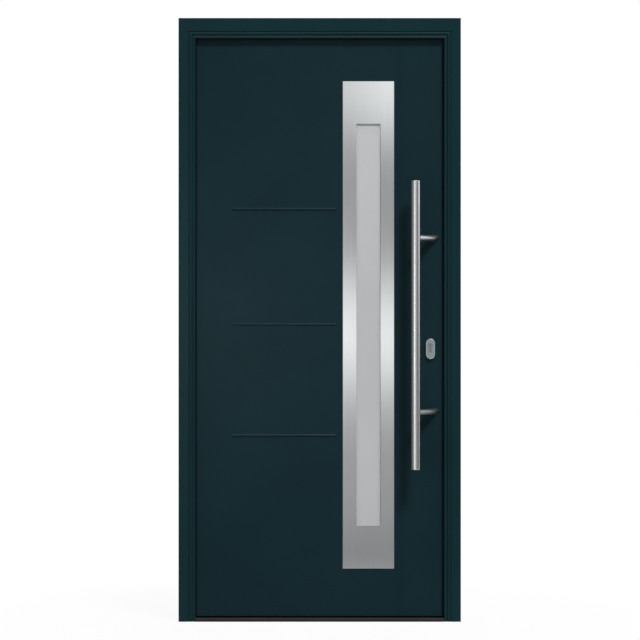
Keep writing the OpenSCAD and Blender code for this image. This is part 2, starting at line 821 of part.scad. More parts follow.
// The ridges are pressed out of the skin, and shed water
module outer_skin() {
    x0 = leaf_x0 + ridge_in;
    root_y = leaf_y0 + skin_t / 2;
    color(teal) union() {
        skin_tray(leaf_y0, leaf_y0 + flange_d, leaf_y0 + skin_t, leaf_y0 + flange_d + 1);
        for (z = [ridge_z_low, ridge_z_mid, ridge_z_high]) {
            translate([x0, 0, z]) rotate([90, 0, 90]) linear_extrude(surround_x0 - ridge_gap - x0)
                polygon([[root_y, ridge_up], [leaf_y0, ridge_up], [leaf_y0 - ridge_t, 0],
                    [leaf_y0, -ridge_down], [root_y, -ridge_down]]);
        }
    }
}

module inner_skin() {
    color(teal) difference() {
        skin_tray(leaf_y1 - flange_d, leaf_y1, leaf_y1 - flange_d - 1, leaf_y1 - skin_t);
        bar_along_y(lock_x, leaf_y1 - flange_d, leaf_y1 + 1, lever_z, follower_r + 1);
        hinge_leaf_screw_set(true);
    }
}

module core() {
    color([0.9, 0.88, 0.78]) difference() {
        box([core_x0 + fit_gap, leaf_y0 + skin_t + fit_gap, rail_z0 + rail_h + fit_gap],
            [core_x1 - fit_gap, leaf_y1 - skin_t - fit_gap, rail_z1 - rail_h - fit_gap]);
        leaf_holes();
    }
}

module hinge_stile() {
    color(timber) difference() {
        box([stile_x0 + fit_gap, leaf_y0 + skin_t + fit_gap, rail_z0 + fit_gap],
            [core_x0, leaf_y1 - skin_t - fit_gap, rail_z1 - fit_gap]);
        hinge_leaf_screw_set(true);
    }
}

module lock_stile() {
    y0 = lock_y - case_t / 2 - fit_gap;
    y1 = lock_y + case_t / 2 + fit_gap;
    rod_room = run_gap + 0.5;
    color(timber) difference() {
        box([core_x1, leaf_y0 + skin_t + fit_gap, rail_z0 + fit_gap],
            [stile_x1 - fit_gap, leaf_y1 - skin_t - fit_gap, rail_z1 - fit_gap]);
        leaf_holes();
        bar_along_y(lock_x, lock_y, leaf_y1, lever_z, follower_r + 1);
        box([case_x0 - fit_gap, y0, case_z0 - fit_gap], [leaf_x1, y1, case_z1 + fit_gap]);
        for (z = [lower_bolt_z, upper_bolt_z]) {
            box([swing_case_x0 - fit_gap, y0, z - swing_case_down - fit_gap],
                [leaf_x1, y1, z + swing_case_up + fit_gap]);
        }
        box([plate_x0 - fit_gap, lock_y - faceplate_w / 2 - fit_gap, plate_z0 - fit_gap],
            [leaf_x1, lock_y + faceplate_w / 2 + fit_gap, plate_z1 + fit_gap]);
        box([rod_x0 - rod_room, lock_y - rod_w / 2 - rod_room, lower_bolt_z],
            [leaf_x1, lock_y + rod_w / 2 + rod_room, upper_bolt_z]);
        plate_screw_set(true);
    }
}

module rail(z0, z1) {
    box([core_x0 + fit_gap, leaf_y0 + skin_t + fit_gap, z0],
        [core_x1 - fit_gap, leaf_y1 - skin_t - fit_gap, z1]);
}

module top_rail() {
    color(timber) rail(rail_z1 - rail_h, rail_z1 - fit_gap);
}

module bottom_rail() {
    color(timber) difference() {
        rail(rail_z0 + fit_gap, rail_z0 + rail_h);
        box([leaf_x0, lock_y - seal_rib_w / 2 - fit_gap, rail_z0 - 1],
            [leaf_x1, lock_y + seal_rib_w / 2 + fit_gap, rail_z0 + seal_rib_h + fit_gap]);
    }
}

// Two lips over the threshold and a rib in the bottom rail
module bottom_seal() {
    y0 = leaf_y0 + flange_d + fit_gap;
    y1 = leaf_y1 - flange_d - fit_gap;
    lip_w = (y1 - y0) / 3;
    color(black) difference() {
        union() {
            box([stile_x0, y0, threshold_h + seal_squash], [stile_x1, y1, rail_z0]);
            box([core_x0 + 2 * fit_gap, lock_y - seal_rib_w / 2, rail_z0 - 1],
                [core_x1 - 2 * fit_gap, lock_y + seal_rib_w / 2, rail_z0 + seal_rib_h]);
        }
        box([leaf_x0, y0 + lip_w, threshold_h], [leaf_x1, y1 - lip_w, leaf_z0]);
    }
}

// Glazing
module glazing_frame() {
    color(black) pane_ring(cutout_w, cutout_h, niche_w, niche_h, leaf_y0, leaf_y1);
}

// A plate with its outer front edges bevelled
module glazing_surround() {
    w = open_w + 2 * surround_side;
    h = open_h + 2 * surround_end;
    y0 = leaf_y0 - surround_t;
    b = surround_bevel;
    color(steel) difference() {
        pane_ring(w, h, open_w, open_h, y0, leaf_y0);
        for (side = [-1, 1]) {
            translate([glass_x + side * w / 2, y0, glass_z - h / 2 - 1]) linear_extrude(h + 2)
                polygon([[0, -1], [0, b], [-side * b, 0], [-side * b, -1]]);
            translate([glass_x - w / 2 - 1, y0, glass_z + side * h / 2]) rotate([90, 0, 90])
                linear_extrude(w + 2) polygon([[-1, 0], [b, 0], [0, -side * b], [-1, -side * b]]);
        }
    }
}

module inner_surround() {
    w = open_w + 2 * inner_margin;
    h = open_h + 2 * inner_margin;
    color(teal) union() {
        pane_ring(w, h, open_w, open_h, leaf_y1, leaf_y1 + inner_t);
        pane_ring(open_w + 2 * bead_lip, open_h + 2 * bead_lip, open_w, open_h,
            inner_tape_y + tape_t, leaf_y1);
    }
}

module pane(y, t) {
    color([0.75, 0.78, 0.78]) slab(y, y + t) pane_rect(pane_w, pane_h);
}

module glass_spacers() {
    w = pane_w - 2 * spacer_in;
    h = pane_h - 2 * spacer_in;
    color([0.3, 0.3, 0.3]) for (y = [outer_pane_y + outer_pane_t, middle_pane_y + middle_pane_t]) {
        pane_ring(w, h, w - 2 * spacer_w, h - 2 * spacer_w, y, y + cavity);
    }
}

module glazing_tapes() {
    w = pane_w - 2 * tape_in;
    h = pane_h - 2 * tape_in;
    w_in = open_w + 2 * tape_show;
    h_in = open_h + 2 * tape_show;
    color(black) for (y = [leaf_y0, inner_tape_y]) {
        pane_ring(w, h, w_in, h_in, y, y + tape_t);
    }
}

// Pull bar
module pull_bar() {
    z0 = bar_z - bar_l / 2 + cap_t;
    z1 = bar_z + bar_l / 2 - cap_t;
    color(steel) difference() {
        bar_along_z(bar_x, bar_y, z0, z1, bar_d / 2);
        bar_along_z(bar_x, bar_y, z0 - 1, z1 + 1, bar_d / 2 - bar_wall);
    }
}

// A cap has a rounded rim, a spigot in the tube and a fine chamfer at the joint
module bar_end_caps() {
    rim = 2;
    r = bar_d / 2;
    spigot_l = 12;
    spigot_r = r - bar_wall - fit_gap;
    color(steel) for (side = [0, 1]) {
        translate([bar_x, bar_y, bar_z]) mirror([0, 0, side]) translate([0, 0, bar_l / 2 - cap_t])
            rotate_extrude() polygon(concat([[0, -spigot_l], [spigot_r, -spigot_l], [spigot_r, 0],
                [r - cap_joint, 0], [r, cap_joint]],
                arc([r - rim, cap_t - rim], rim, 0, 90, 6), [[0, cap_t]]));
    }
}

// A post runs from the bar to the leaf at half a right angle
module post(z) {
    reach = bar_off * sqrt(2);
    color(steel) difference() {
        translate([bar_x, bar_y, z]) rotate([0, 90, 45]) cylinder(d = post_d, h = reach + post_d);
        bar_along_z(bar_x, bar_y, z - post_d, z + post_d, bar_d / 2 + fit_gap);
        box([bar_x, leaf_y0, z - post_d], [post_foot_x + 2 * post_d, leaf_y0 + 3 * post_d, z + post_d]);
        bar_along_y(post_bolt_x, leaf_y0 - post_bolt_in, leaf_y0 + 1, z, post_bolt_d / 2 + fit_gap);
    }
}

module upper_post() {
    post(post_z[1]);
}

module lower_post() {
    post(post_z[0]);
}

module post_bolts() {
    color(zinc) for (z = post_z) {
        union() {
            bar_along_y(post_bolt_x, leaf_y0 - post_bolt_in + run_gap, leaf_y1 + 1, z, post_bolt_d / 2);
            bar_along_y(post_bolt_x, leaf_y1, leaf_y1 + bolt_head_t, z, bolt_head_d / 2);
        }
    }
}

module bolt_caps() {
    r = bolt_cap_d / 2;
    room_r = bolt_head_d / 2 + fit_gap;
    room_t = bolt_head_t + fit_gap;
    c = trim_chamfer;
    color(steel) for (z = post_z) {
        translate([post_bolt_x, leaf_y1, z]) rotate([-90, 0, 0]) rotate_extrude()
            polygon([[room_r, 0], [r, 0], [r, bolt_cap_t - c], [r - c, bolt_cap_t], [0, bolt_cap_t],
                [0, room_t], [room_r, room_t]]);
    }
}

// Lock furniture
// An upright oblong plate that stands on the XY plane, with its front edge chamfered
module oblong_plate() {
    r = esc_w / 2;
    c = trim_chamfer;
    straight = esc_h - esc_w;
    for (end = [-1, 1]) {
        translate([0, end * straight / 2, 0]) rotate_extrude()
            polygon([[0, 0], [r, 0], [r, esc_t - c], [r - c, esc_t], [0, esc_t]]);
    }
    translate([0, straight / 2, 0]) rotate([90, 0, 0]) linear_extrude(straight)
        polygon([[-r, 0], [r, 0], [r, esc_t - c], [r - c, esc_t], [c - r, esc_t], [-r, esc_t - c]]);
}

module outer_escutcheon() {
    y0 = leaf_y0 - esc_t;
    color(steel) difference() {
        translate([lock_x, leaf_y0, esc_z]) rotate([90, 0, 0]) oblong_plate();
        slab(y0 - 1, y0 + esc_sink) oblong(lock_x, esc_z, esc_w / 2 - esc_rim, esc_h - 2 * esc_rim);
        slab(y0 - 1, leaf_y0 + 1) cylinder_profile(fit_gap);
        for (z = [plug_z + esc_screw_up, plug_z - esc_screw_down]) {
            bar_along_y(lock_x, leaf_y0 - esc_t / 2, leaf_y0 + 1, z, esc_screw_d / 2 + fit_gap);
        }
    }
}

module inner_escutcheon() {
    y1 = leaf_y1 + esc_t;
    color(steel) difference() {
        translate([lock_x, leaf_y1, esc_z]) mirror([0, 1, 0]) rotate([90, 0, 0]) oblong_plate();
        slab(y1 - esc_sink, y1 + 1) oblong(lock_x, esc_z, esc_w / 2 - esc_rim, esc_h - 2 * esc_rim);
        slab(leaf_y1 - 1, y1 + 1) cylinder_profile(fit_gap);
        for (z = [plug_z + esc_screw_up, plug_z - esc_screw_down]) {
            facing_inside(lock_x, y1 - esc_sink, z) screw_hole(esc_screw_d, 2 * esc_t);
        }
    }
}

module escutcheon_screws() {
    y1 = leaf_y1 + esc_t - esc_sink;
    y0 = leaf_y0 - esc_t / 2 + run_gap;
    color(zinc) for (z = [plug_z + esc_screw_up, plug_z - esc_screw_down]) {
        facing_inside(lock_x, y1, z) screw(esc_screw_d, y1 - y0);
    }
}

// The body is cut for the cam, and a bridge under the cut holds its halves together
module cylinder_body() {
    color(steel) difference() {
        slab(cylinder_y0, cylinder_y1) cylinder_profile(0);
        bar_along_y(lock_x, cylinder_y0 - 1, cylinder_y1 + 1, plug_z, plug_d / 2 + pin_gap);
        box([lock_x - cam_r, lock_y - cam_room / 2, plug_z - web_drop + web_bridge],
            [lock_x + cam_r, lock_y + cam_room / 2, plug_z + cam_r]);
        bar_along_x(lock_x - web_w, lock_x + web_w, lock_y, plug_z - screw_drop,
            cylinder_screw_d / 2 + fit_gap);
    }
}

module cylinder_screw() {
    color(zinc) pointing_x(plate_x1, lock_y, plug_z - screw_drop, -1)
        screw(cylinder_screw_d, plate_x1 - lock_x);
}

module key_plugs() {
    keyway_w = 2;
    keyway_h = 9;
    keyway_d = 22;
    color([0.8, 0.78, 0.7]) {
        difference() {
            bar_along_y(lock_x, cylinder_y0, lock_y - cam_t / 2 - fit_gap, plug_z, plug_d / 2);
            box([lock_x - keyway_w / 2, cylinder_y0 - 1, plug_z - keyway_h / 2],
                [lock_x + keyway_w / 2, cylinder_y0 + keyway_d, plug_z + keyway_h / 2]);
        }
        difference() {
            bar_along_y(lock_x, lock_y + cam_t / 2 + fit_gap, cylinder_y1, plug_z, plug_d / 2);
            box([lock_x - keyway_w / 2, cylinder_y1 - keyway_d, plug_z - keyway_h / 2],
                [lock_x + keyway_w / 2, cylinder_y1 + 1, plug_z + keyway_h / 2]);
        }
    }
}

module lock_cam() {
    nose_w = 8;
    color(zinc) slab(lock_y - cam_t / 2, lock_y + cam_t / 2) translate([lock_x, plug_z]) {
        circle(body_r - run_gap);
        intersection() {
            circle(cam_r - run_gap);
            translate([-nose_w / 2, -cam_r]) square([nose_w, cam_r]);
        }
    }
}

// Lock
// A flat box of sheet, open where the drive rods run
module sheet_case(x0, z0, z1) {
    y0 = lock_y - case_t / 2;
    y1 = lock_y + case_t / 2;
    w = case_wall;
    difference() {
        box([x0, y0, z0], [plate_x0 - fit_gap, y1, z1]);
        box([x0 + w, y0 + w, z0 + w], [plate_x0 - fit_gap - w, y1 - w, z1 - w]);
        box([rod_x0 - run_gap, lock_y - rod_w / 2 - run_gap, z0 - 1],
            [rod_x1 + run_gap, lock_y + rod_w / 2 + run_gap, z1 + 1]);
        children();
    }
}

module lock_case() {
    y0 = lock_y - case_t / 2;
    y1 = lock_y + case_t / 2;
    front = plate_x0 - fit_gap;
    color(zinc) sheet_case(case_x0, case_z0, case_z1) {
        bar_along_y(lock_x, y0 - 1, y1 + 1, lever_z, follower_r + run_gap / 2);
        slab(y0 - 1, y1 + 1) cylinder_profile(fit_gap);
        latch_way(-0.5, front - 2 * case_wall, front + 1);
        dead_way(-0.5, front - 2 * case_wall, front + 1);
        bar_along_x(lock_x, front + 1, lock_y, plug_z - screw_drop, cylinder_screw_d / 2 + fit_gap);
        for (z = [plug_z + esc_screw_up, plug_z - esc_screw_down]) {
            bar_along_y(lock_x, y0 - 1, y1 + 1, z, esc_screw_d / 2 + fit_gap);
        }
    }
}

// The case of a swing bolt carries its pivot
module swing_case(z) {
    front = plate_x0 - fit_gap;
    color(zinc) union() {
        sheet_case(swing_case_x0, z - swing_case_down, z + swing_case_up) {
            swing_way(z, 0, front - 2 * case_wall, front + 1);
        }
        bar_along_y(pivot_x, lock_y - case_t / 2, lock_y + case_t / 2, z, swing_pin_d / 2);
    }
}

module upper_bolt_case() {
    swing_case(upper_bolt_z);
}

module lower_bolt_case() {
    swing_case(lower_bolt_z);
}

module plate_screw_set(hole) {
    for (z = plate_screw_z) {
        pointing_x(plate_x1, lock_y, z, -1) {
            if (hole) screw_hole(plate_screw_d, plate_screw_l);
            else screw(plate_screw_d, plate_screw_l);
        }
    }
}

module faceplate() {
    color(steel) difference() {
        box([plate_x0, lock_y - faceplate_w / 2, plate_z0], [plate_x1, lock_y + faceplate_w / 2, plate_z1]);
        latch_way(-0.5, plate_x0 - 1, plate_x1 + 1);
        dead_way(-0.5, plate_x0 - 1, plate_x1 + 1);
        for (z = [lower_bolt_z, upper_bolt_z]) {
            swing_way(z, 0, plate_x0 - 1, plate_x1 + 1);
        }
        plate_screw_set(true);
        pointing_x(plate_x1, lock_y, plug_z - screw_drop, -1)
            screw_hole(cylinder_screw_d, plate_x1 - lock_x);
    }
}

module faceplate_screws() {
    color(zinc) plate_screw_set(false);
}

// Moving pieces of the lock
// The latch's tail lies beside the follower's arm and hooks behind it
module latch_bolt() {
    x0 = plate_x1 - latch_body;
    x1 = plate_x1 + latch_throw;
    hook_x1 = lock_x - arm_w / 2 - run_gap;
    hook_x0 = hook_x1 - arm_w;
    y0 = lock_y - bolt_t / 2;
    y1 = lock_y + bolt_t / 2;
    color(steel) union() {
        translate([0, 0, lever_z - bolt_h / 2]) linear_extrude(bolt_h)
            polygon([[x0, y0], [x1 - latch_throw, y0], [x1, y1 - 2], [x1, y1], [x0, y1]]);
        box([hook_x0, y1 - tail_w, tail_z0], [x0 + 1, y1, tail_z1]);
        box([hook_x0, y0, tail_z0 - 2], [hook_x1, y1, tail_z1]);
    }
}

module dead_bolt() {
    x1 = plate_x1 - run_gap / 2;
    color(steel) box([x1 - dead_l, lock_y - bolt_t / 2, dead_z - bolt_h / 2],
        [x1, lock_y + bolt_t / 2, dead_z + bolt_h / 2]);
}

// A swing bolt hangs from its pivot at rest
module swing_bolt(z) {
    r = swing_w / 2;
    color(steel) slab(lock_y - swing_t / 2, lock_y + swing_t / 2) difference() {
        union() {
            translate([pivot_x, z]) circle(r);
            translate([pivot_x - r, z - swing_reach + r]) square([swing_w, swing_reach - r]);
            translate([pivot_x, z - swing_reach + r]) circle(r);
        }
        translate([pivot_x, z]) circle(swing_pin_d / 2 + pin_gap);
    }
}

module upper_swing_bolt() {
    swing_bolt(upper_bolt_z);
}

module lower_swing_bolt() {
    swing_bolt(lower_bolt_z);
}

// A rod is slotted round the faceplate's screws over its stroke
module drive_rod(z0, z1) {
    slot = plate_screw_d / 2 + run_gap;
    color(zinc) difference() {
        box([rod_x0, lock_y - rod_w / 2, z0], [rod_x1, lock_y + rod_w / 2, z1]);
        for (z = plate_screw_z) {
            box([rod_x0 - 1, lock_y - slot, z - rod_stroke - slot], [rod_x1 + 1, lock_y + slot, z + slot]);
        }
    }
}

module upper_rod() {
    drive_rod(upper_rod_z0, upper_rod_z1);
}

module lower_rod() {
    drive_rod(lower_rod_z0, lower_rod_z1);
}

// Lever
module square_bore(grow, y0, y1) {
    a = spindle_a / 2 + grow;
    box([lock_x - a, y0, lever_z - a], [lock_x + a, y1, lever_z + a]);
}

module follower() {
    y0 = lock_y - case_t / 2;
    y1 = lock_y + case_t / 2;
    arm_y1 = lock_y + bolt_t / 2 - tail_w - run_gap;
    color(zinc) difference() {
        union() {
            bar_along_y(lock_x, y0, y1, lever_z, follower_r);
            box([lock_x - arm_w / 2, lock_y - bolt_t / 2, lever_z],
                [lock_x + arm_w / 2, arm_y1, lever_z + arm_r]);
        }
        square_bore(fit_gap, y0 - 1, y1 + 1);
    }
}

module spindle() {
    color(zinc) square_bore(0, lock_y - case_t / 2 + 1, leaf_y1 + rosette_t + spindle_in_lever);
}

module lever_rosette() {
    r = rosette_d / 2;
    bore = lever_d / 2 + run_gap;
    c = trim_chamfer;
    color(steel) translate([lock_x, leaf_y1, lever_z]) rotate([-90, 0, 0]) rotate_extrude()
        polygon([[bore, 0], [r, 0], [r, rosette_t - c], [r - c, rosette_t], [bore, rosette_t]]);
}

// A round neck, a quarter bend and a straight grip with a chamfered end
module lever_handle() {
    r = lever_d / 2;
    grip_y = leaf_y1 + lever_off;
    bend_y = grip_y - lever_bend;
    chamfer = 2;
    grip_l = lever_l - lever_bend - chamfer;
    neck_y0 = leaf_y1 + rosette_t / 2;
    color(steel) difference() {
        union() {
            bar_along_y(lock_x, neck_y0, bend_y, lever_z, r);
            translate([lock_x - lever_bend, bend_y, lever_z]) rotate_extrude(angle = 90)
                translate([lever_bend, 0]) circle(r);
            bar_along_x(lock_x - lever_bend - grip_l, lock_x - lever_bend, grip_y, lever_z, r);
            translate([lock_x - lever_bend - grip_l, grip_y, lever_z]) rotate([0, -90, 0])
                cylinder(r1 = r, r2 = r - chamfer, h = chamfer);
        }
        square_bore(fit_gap, neck_y0 - 1, leaf_y1 + rosette_t + spindle_in_lever + fit_gap);
    }
}

hinge_jamb();
lock_jamb();
head();
threshold();
threshold_break();
threshold_inner();
corner_cleats();
frame_seals();
main_strike();
swing_bolt_strikes();
strike_screws();
hinge_frame_wings();
hinge_pins();
hinge_frame_screws();
outer_skin();
inner_skin();
core();
hinge_stile();
lock_stile();
top_rail();
bottom_rail();
bottom_seal();
glazing_frame();
glazing_surround();
inner_surround();
pane(outer_pane_y, outer_pane_t);  // outer_pane
pane(middle_pane_y, middle_pane_t);  // middle_pane
pane(inner_pane_y, inner_pane_t);  // inner_pane
glass_spacers();
glazing_tapes();
pull_bar();
bar_end_caps();
upper_post();
lower_post();
post_bolts();
bolt_caps();
outer_escutcheon();
inner_escutcheon();
escutcheon_screws();
cylinder_body();
cylinder_screw();
lock_case();
faceplate();
faceplate_screws();
upper_bolt_case();
lower_bolt_case();
lever_rosette();
hinge_leaf_wings();
hinge_leaf_screws();
lever_handle();
spindle();
follower();
latch_bolt();
dead_bolt();
key_plugs();
lock_cam();
upper_rod();
lower_rod();
upper_swing_bolt();
lower_swing_bolt();
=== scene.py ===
# %% [markdown]
# A front door in its frame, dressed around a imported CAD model. The solids, their places and their
# motion come from the CAD frame. This script gives every one of them a finish, adds the soft seals and
# the small fasteners, and then sets up a plain studio with the photograph's camera. Everything is in
# metres: X to the right seen from outside, Y into the house, Z up.

# %% Load the frame
import math
import bmesh
import bpy
from mathutils import Matrix, Vector


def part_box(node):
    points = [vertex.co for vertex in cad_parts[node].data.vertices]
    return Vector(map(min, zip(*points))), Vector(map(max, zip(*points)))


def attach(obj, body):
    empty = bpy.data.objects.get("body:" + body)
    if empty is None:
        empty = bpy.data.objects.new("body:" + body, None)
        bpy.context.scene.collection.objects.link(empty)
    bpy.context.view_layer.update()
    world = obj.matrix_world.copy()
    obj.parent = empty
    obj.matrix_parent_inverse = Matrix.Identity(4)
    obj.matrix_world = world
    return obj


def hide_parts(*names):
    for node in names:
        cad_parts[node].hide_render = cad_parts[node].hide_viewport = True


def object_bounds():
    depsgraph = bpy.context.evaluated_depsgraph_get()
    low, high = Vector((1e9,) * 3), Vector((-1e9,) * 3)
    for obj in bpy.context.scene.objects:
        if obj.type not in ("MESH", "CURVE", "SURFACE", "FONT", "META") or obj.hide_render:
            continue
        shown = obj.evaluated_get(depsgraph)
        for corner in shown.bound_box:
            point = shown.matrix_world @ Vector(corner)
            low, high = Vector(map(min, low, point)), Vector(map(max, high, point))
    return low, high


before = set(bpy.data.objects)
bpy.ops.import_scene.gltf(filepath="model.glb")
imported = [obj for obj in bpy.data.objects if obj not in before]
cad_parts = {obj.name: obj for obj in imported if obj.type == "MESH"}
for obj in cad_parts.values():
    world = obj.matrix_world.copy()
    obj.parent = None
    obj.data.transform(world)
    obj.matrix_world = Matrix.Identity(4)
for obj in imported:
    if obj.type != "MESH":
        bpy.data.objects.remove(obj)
cad_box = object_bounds()
MM = 0.001

# %% [markdown]
# The finishes come first, and every one starts the same way: a Principled shader with plain values on
# its sockets. A value that is the same all over a surface could also come from a node, but as a number
# on the socket it is easy to find, and the export keeps it. Only what changes over the surface gets
# nodes.

# %% A finish and its shader
def new_finish(name, colour, roughness, metallic=0.0, specular=0.5):
    """A material with a Principled shader, and the shader."""
    finish = bpy.data.materials.new(name)
    finish.use_nodes = True
    shader = finish.node_tree.nodes["Principled BSDF"]
    shader.inputs["Base Color"].default_value = (*colour, 1)
    shader.inputs["Roughness"].default_value = roughness
    shader.inputs["Metallic"].default_value = metallic
    shader.inputs["Specular IOR Level"].default_value = specular
    return finish, shader


def shade(colour, factor):
    """A colour made lighter or darker."""
    return tuple(channel * factor for channel in colour)


print("finishes that came with the CAD nodes:", len(bpy.data.materials))

# %% [markdown]
# What makes a finish look real is its small unevenness. An image could carry it, but an image has
# pixels and needs every piece laid out flat. Noise needs neither: it fills the space, and a piece shows
# what passes through its surface. It reads Object coordinates, which are metres here, so a grain has
# the same size on every piece. A stretch below 1 on one axis draws the spots out along it, which makes
# brushed lines or wood.

# %% Noise in metres
NO_STRETCH = (1, 1, 1)


def noise_field(finish, size, stretch=NO_STRETCH, detail=2.0):
    """Noise in spots of about the given size, drawn out along an axis whose stretch is below 1."""
    tree = finish.node_tree
    place = tree.nodes.new("ShaderNodeTexCoord")
    fit = tree.nodes.new("ShaderNodeMapping")
    fit.inputs["Scale"].default_value = stretch
    field = tree.nodes.new("ShaderNodeTexNoise")
    field.inputs["Scale"].default_value = 1 / size
    field.inputs["Detail"].default_value = detail
    tree.links.new(place.outputs["Object"], fit.inputs["Vector"])
    tree.links.new(fit.outputs["Vector"], field.inputs["Vector"])
    return field.outputs["Fac"]


print("noise helper ready")

# %% [markdown]
# A field can drive three things: the colour, the gloss and the height. Most values of a noise lie near
# its middle, so the usual range is narrower than 0 to 1. The height goes through a Bump node. Modelled
# relief would be truer at the outline, but here it is at most a few tenths of a millimetre, and no mesh
# should carry that.

# %% What a field drives
USUAL_LOW = 0.3
USUAL_HIGH = 0.7


def vary_colour(finish, shader, field, dark, light, low=USUAL_LOW, high=USUAL_HIGH):
    """The base colour runs from dark to light with the field."""
    tree = finish.node_tree
    ramp = tree.nodes.new("ShaderNodeValToRGB")
    ramp.color_ramp.elements[0].position = low
    ramp.color_ramp.elements[0].color = (*dark, 1)
    ramp.color_ramp.elements[1].position = high
    ramp.color_ramp.elements[1].color = (*light, 1)
    tree.links.new(field, ramp.inputs["Fac"])
    tree.links.new(ramp.outputs["Color"], shader.inputs["Base Color"])


def vary_roughness(finish, shader, field, smooth, rough):
    """The roughness runs from smooth to rough with the field."""
    tree = finish.node_tree
    spread = tree.nodes.new("ShaderNodeMapRange")
    spread.inputs["From Min"].default_value = USUAL_LOW
    spread.inputs["From Max"].default_value = USUAL_HIGH
    spread.inputs["To Min"].default_value = smooth
    spread.inputs["To Max"].default_value = rough
    tree.links.new(field, spread.inputs["Value"])
    tree.links.new(spread.outputs["Result"], shader.inputs["Roughness"])


def add_relief(finish, shader, field, depth, strength):
    """The field also lifts the surface, by up to the depth in metres."""
    tree = finish.node_tree
    bump = tree.nodes.new("ShaderNodeBump")
    bump.inputs["Distance"].default_value = depth
    bump.inputs["Strength"].default_value = strength
    tree.links.new(field, bump.inputs["Height"])
    tree.links.new(bump.outputs["Normal"], shader.inputs["Normal"])


print("a noise mostly lies between", USUAL_LOW, "and", USUAL_HIGH)

# %% [markdown]
# The leaf's sheets and the frame's profiles are powder coated in a dark petrol colour. The powder melts
# in an oven and is never quite flat: it leaves an orange peel about a millimetre wide, and the shade
# and the gloss wander a little over a sheet. One flat colour would look like plastic film, so shade,
# gloss and height each get a noise of their own size. The coat is nearly matt, so its specular level is
# low, and the frame is a shade greener than the leaf.

# %% Powder coat
LEAF_PETROL = (0.0047, 0.0198, 0.0252)
FRAME_PETROL = (0.0045, 0.0232, 0.0275)
SHADE_CLOUD = 350 * MM
GLOSS_CLOUD = 20 * MM
PEEL_W = 1.2 * MM
PEEL_D = 0.03 * MM


def powder_coat(name, colour):
    """A satin coat with orange peel and slow changes of shade."""
    finish, shader = new_finish(name, colour, roughness=0.38, specular=0.065)
    cloud = noise_field(finish, SHADE_CLOUD)
    vary_colour(finish, shader, cloud, shade(colour, 0.92), shade(colour, 1.08))
    vary_roughness(finish, shader, noise_field(finish, GLOSS_CLOUD), smooth=0.35, rough=0.42)
    add_relief(finish, shader, noise_field(finish, PEEL_W), PEEL_D, strength=0.5)
    return finish


leaf_coat = powder_coat("leaf_coat", LEAF_PETROL)
frame_coat = powder_coat("frame_coat", FRAME_PETROL)
print("coats:", leaf_coat.name, frame_coat.name)

# %% [markdown]
# The surround, the bar and the lock furniture are satin stainless steel. A belt brushes it along its
# length and leaves fine lines. An anisotropic shader alone would stretch the highlight but show no
# lines, so they are made: noise that is drawn out a hundred times along one axis changes the shade, the
# gloss and the height a little. Upright pieces are brushed along Z, the lever and the bolts along X,
# and small turned pieces have no direction. The posts are a little rougher, and their steel is painted
# darker as shade, which dims them.

# %% Satin steel
SATIN = (0.588, 0.606, 0.612)
# The posts' steel is the same satin, painted darker as shade.
POST_SATIN_SHADED = (0.5, 0.515, 0.52)
LINE_W = 0.9 * MM
LINE_D = 0.002 * MM
GLOSS_LINE_W = 2.2 * MM
GRAIN_UP = (1, 1, 0.01)
GRAIN_ACROSS = (0.01, 1, 1)


def satin_steel(name, stretch, colour=SATIN, smooth=0.18, rough=0.22):
    """Brushed stainless steel with its grain along the stretched axis."""
    finish, shader = new_finish(name, colour, roughness=0.2, metallic=1.0)
    grain = noise_field(finish, LINE_W, stretch, detail=4.0)
    vary_colour(finish, shader, grain, shade(colour, 0.97), shade(colour, 1.03))
    vary_roughness(finish, shader, noise_field(finish, GLOSS_LINE_W, stretch), smooth, rough)
    add_relief(finish, shader, grain, LINE_D, strength=0.3)
    return finish


steel_upright = satin_steel("steel_upright", GRAIN_UP)
steel_across = satin_steel("steel_across", GRAIN_ACROSS)
steel_round = satin_steel("steel_round", NO_STRETCH)
steel_post = satin_steel("steel_post", NO_STRETCH, POST_SATIN_SHADED, smooth=0.27, rough=0.32)
print("steel:", steel_upright.name, steel_across.name, steel_round.name, steel_post.name)

# %% [markdown]
# The pull bar is a drawn tube, with faint streaks along its length. It is ground while it turns, so its
# finest lines run round it. Those are too fine to see one by one, but they draw the highlight out along
# the bar. Modelled grooves would be far too small, so this is left to the anisotropic share: the
# tangent runs round the bar's axis, and a quarter turn lays the stretch along it.

# %% Bar steel
TUBE_STREAKS = (1, 1, 0.03)
GROUND_SHARE = 0.4
QUARTER_TURN = 0.25
steel_bar = satin_steel("steel_bar", TUBE_STREAKS, smooth=0.24, rough=0.27)
bar_tree = steel_bar.node_tree
bar_shader = bar_tree.nodes["Principled BSDF"]
bar_shader.inputs["Anisotropic"].default_value = GROUND_SHARE
bar_shader.inputs["Anisotropic Rotation"].default_value = QUARTER_TURN
round_bar = bar_tree.nodes.new("ShaderNodeTangent")
round_bar.direction_type = "RADIAL"
round_bar.axis = "Z"
bar_tree.links.new(round_bar.outputs["Tangent"], bar_shader.inputs["Tangent"])
print("bar:", steel_bar.name, "with", GROUND_SHARE, "of anisotropy")
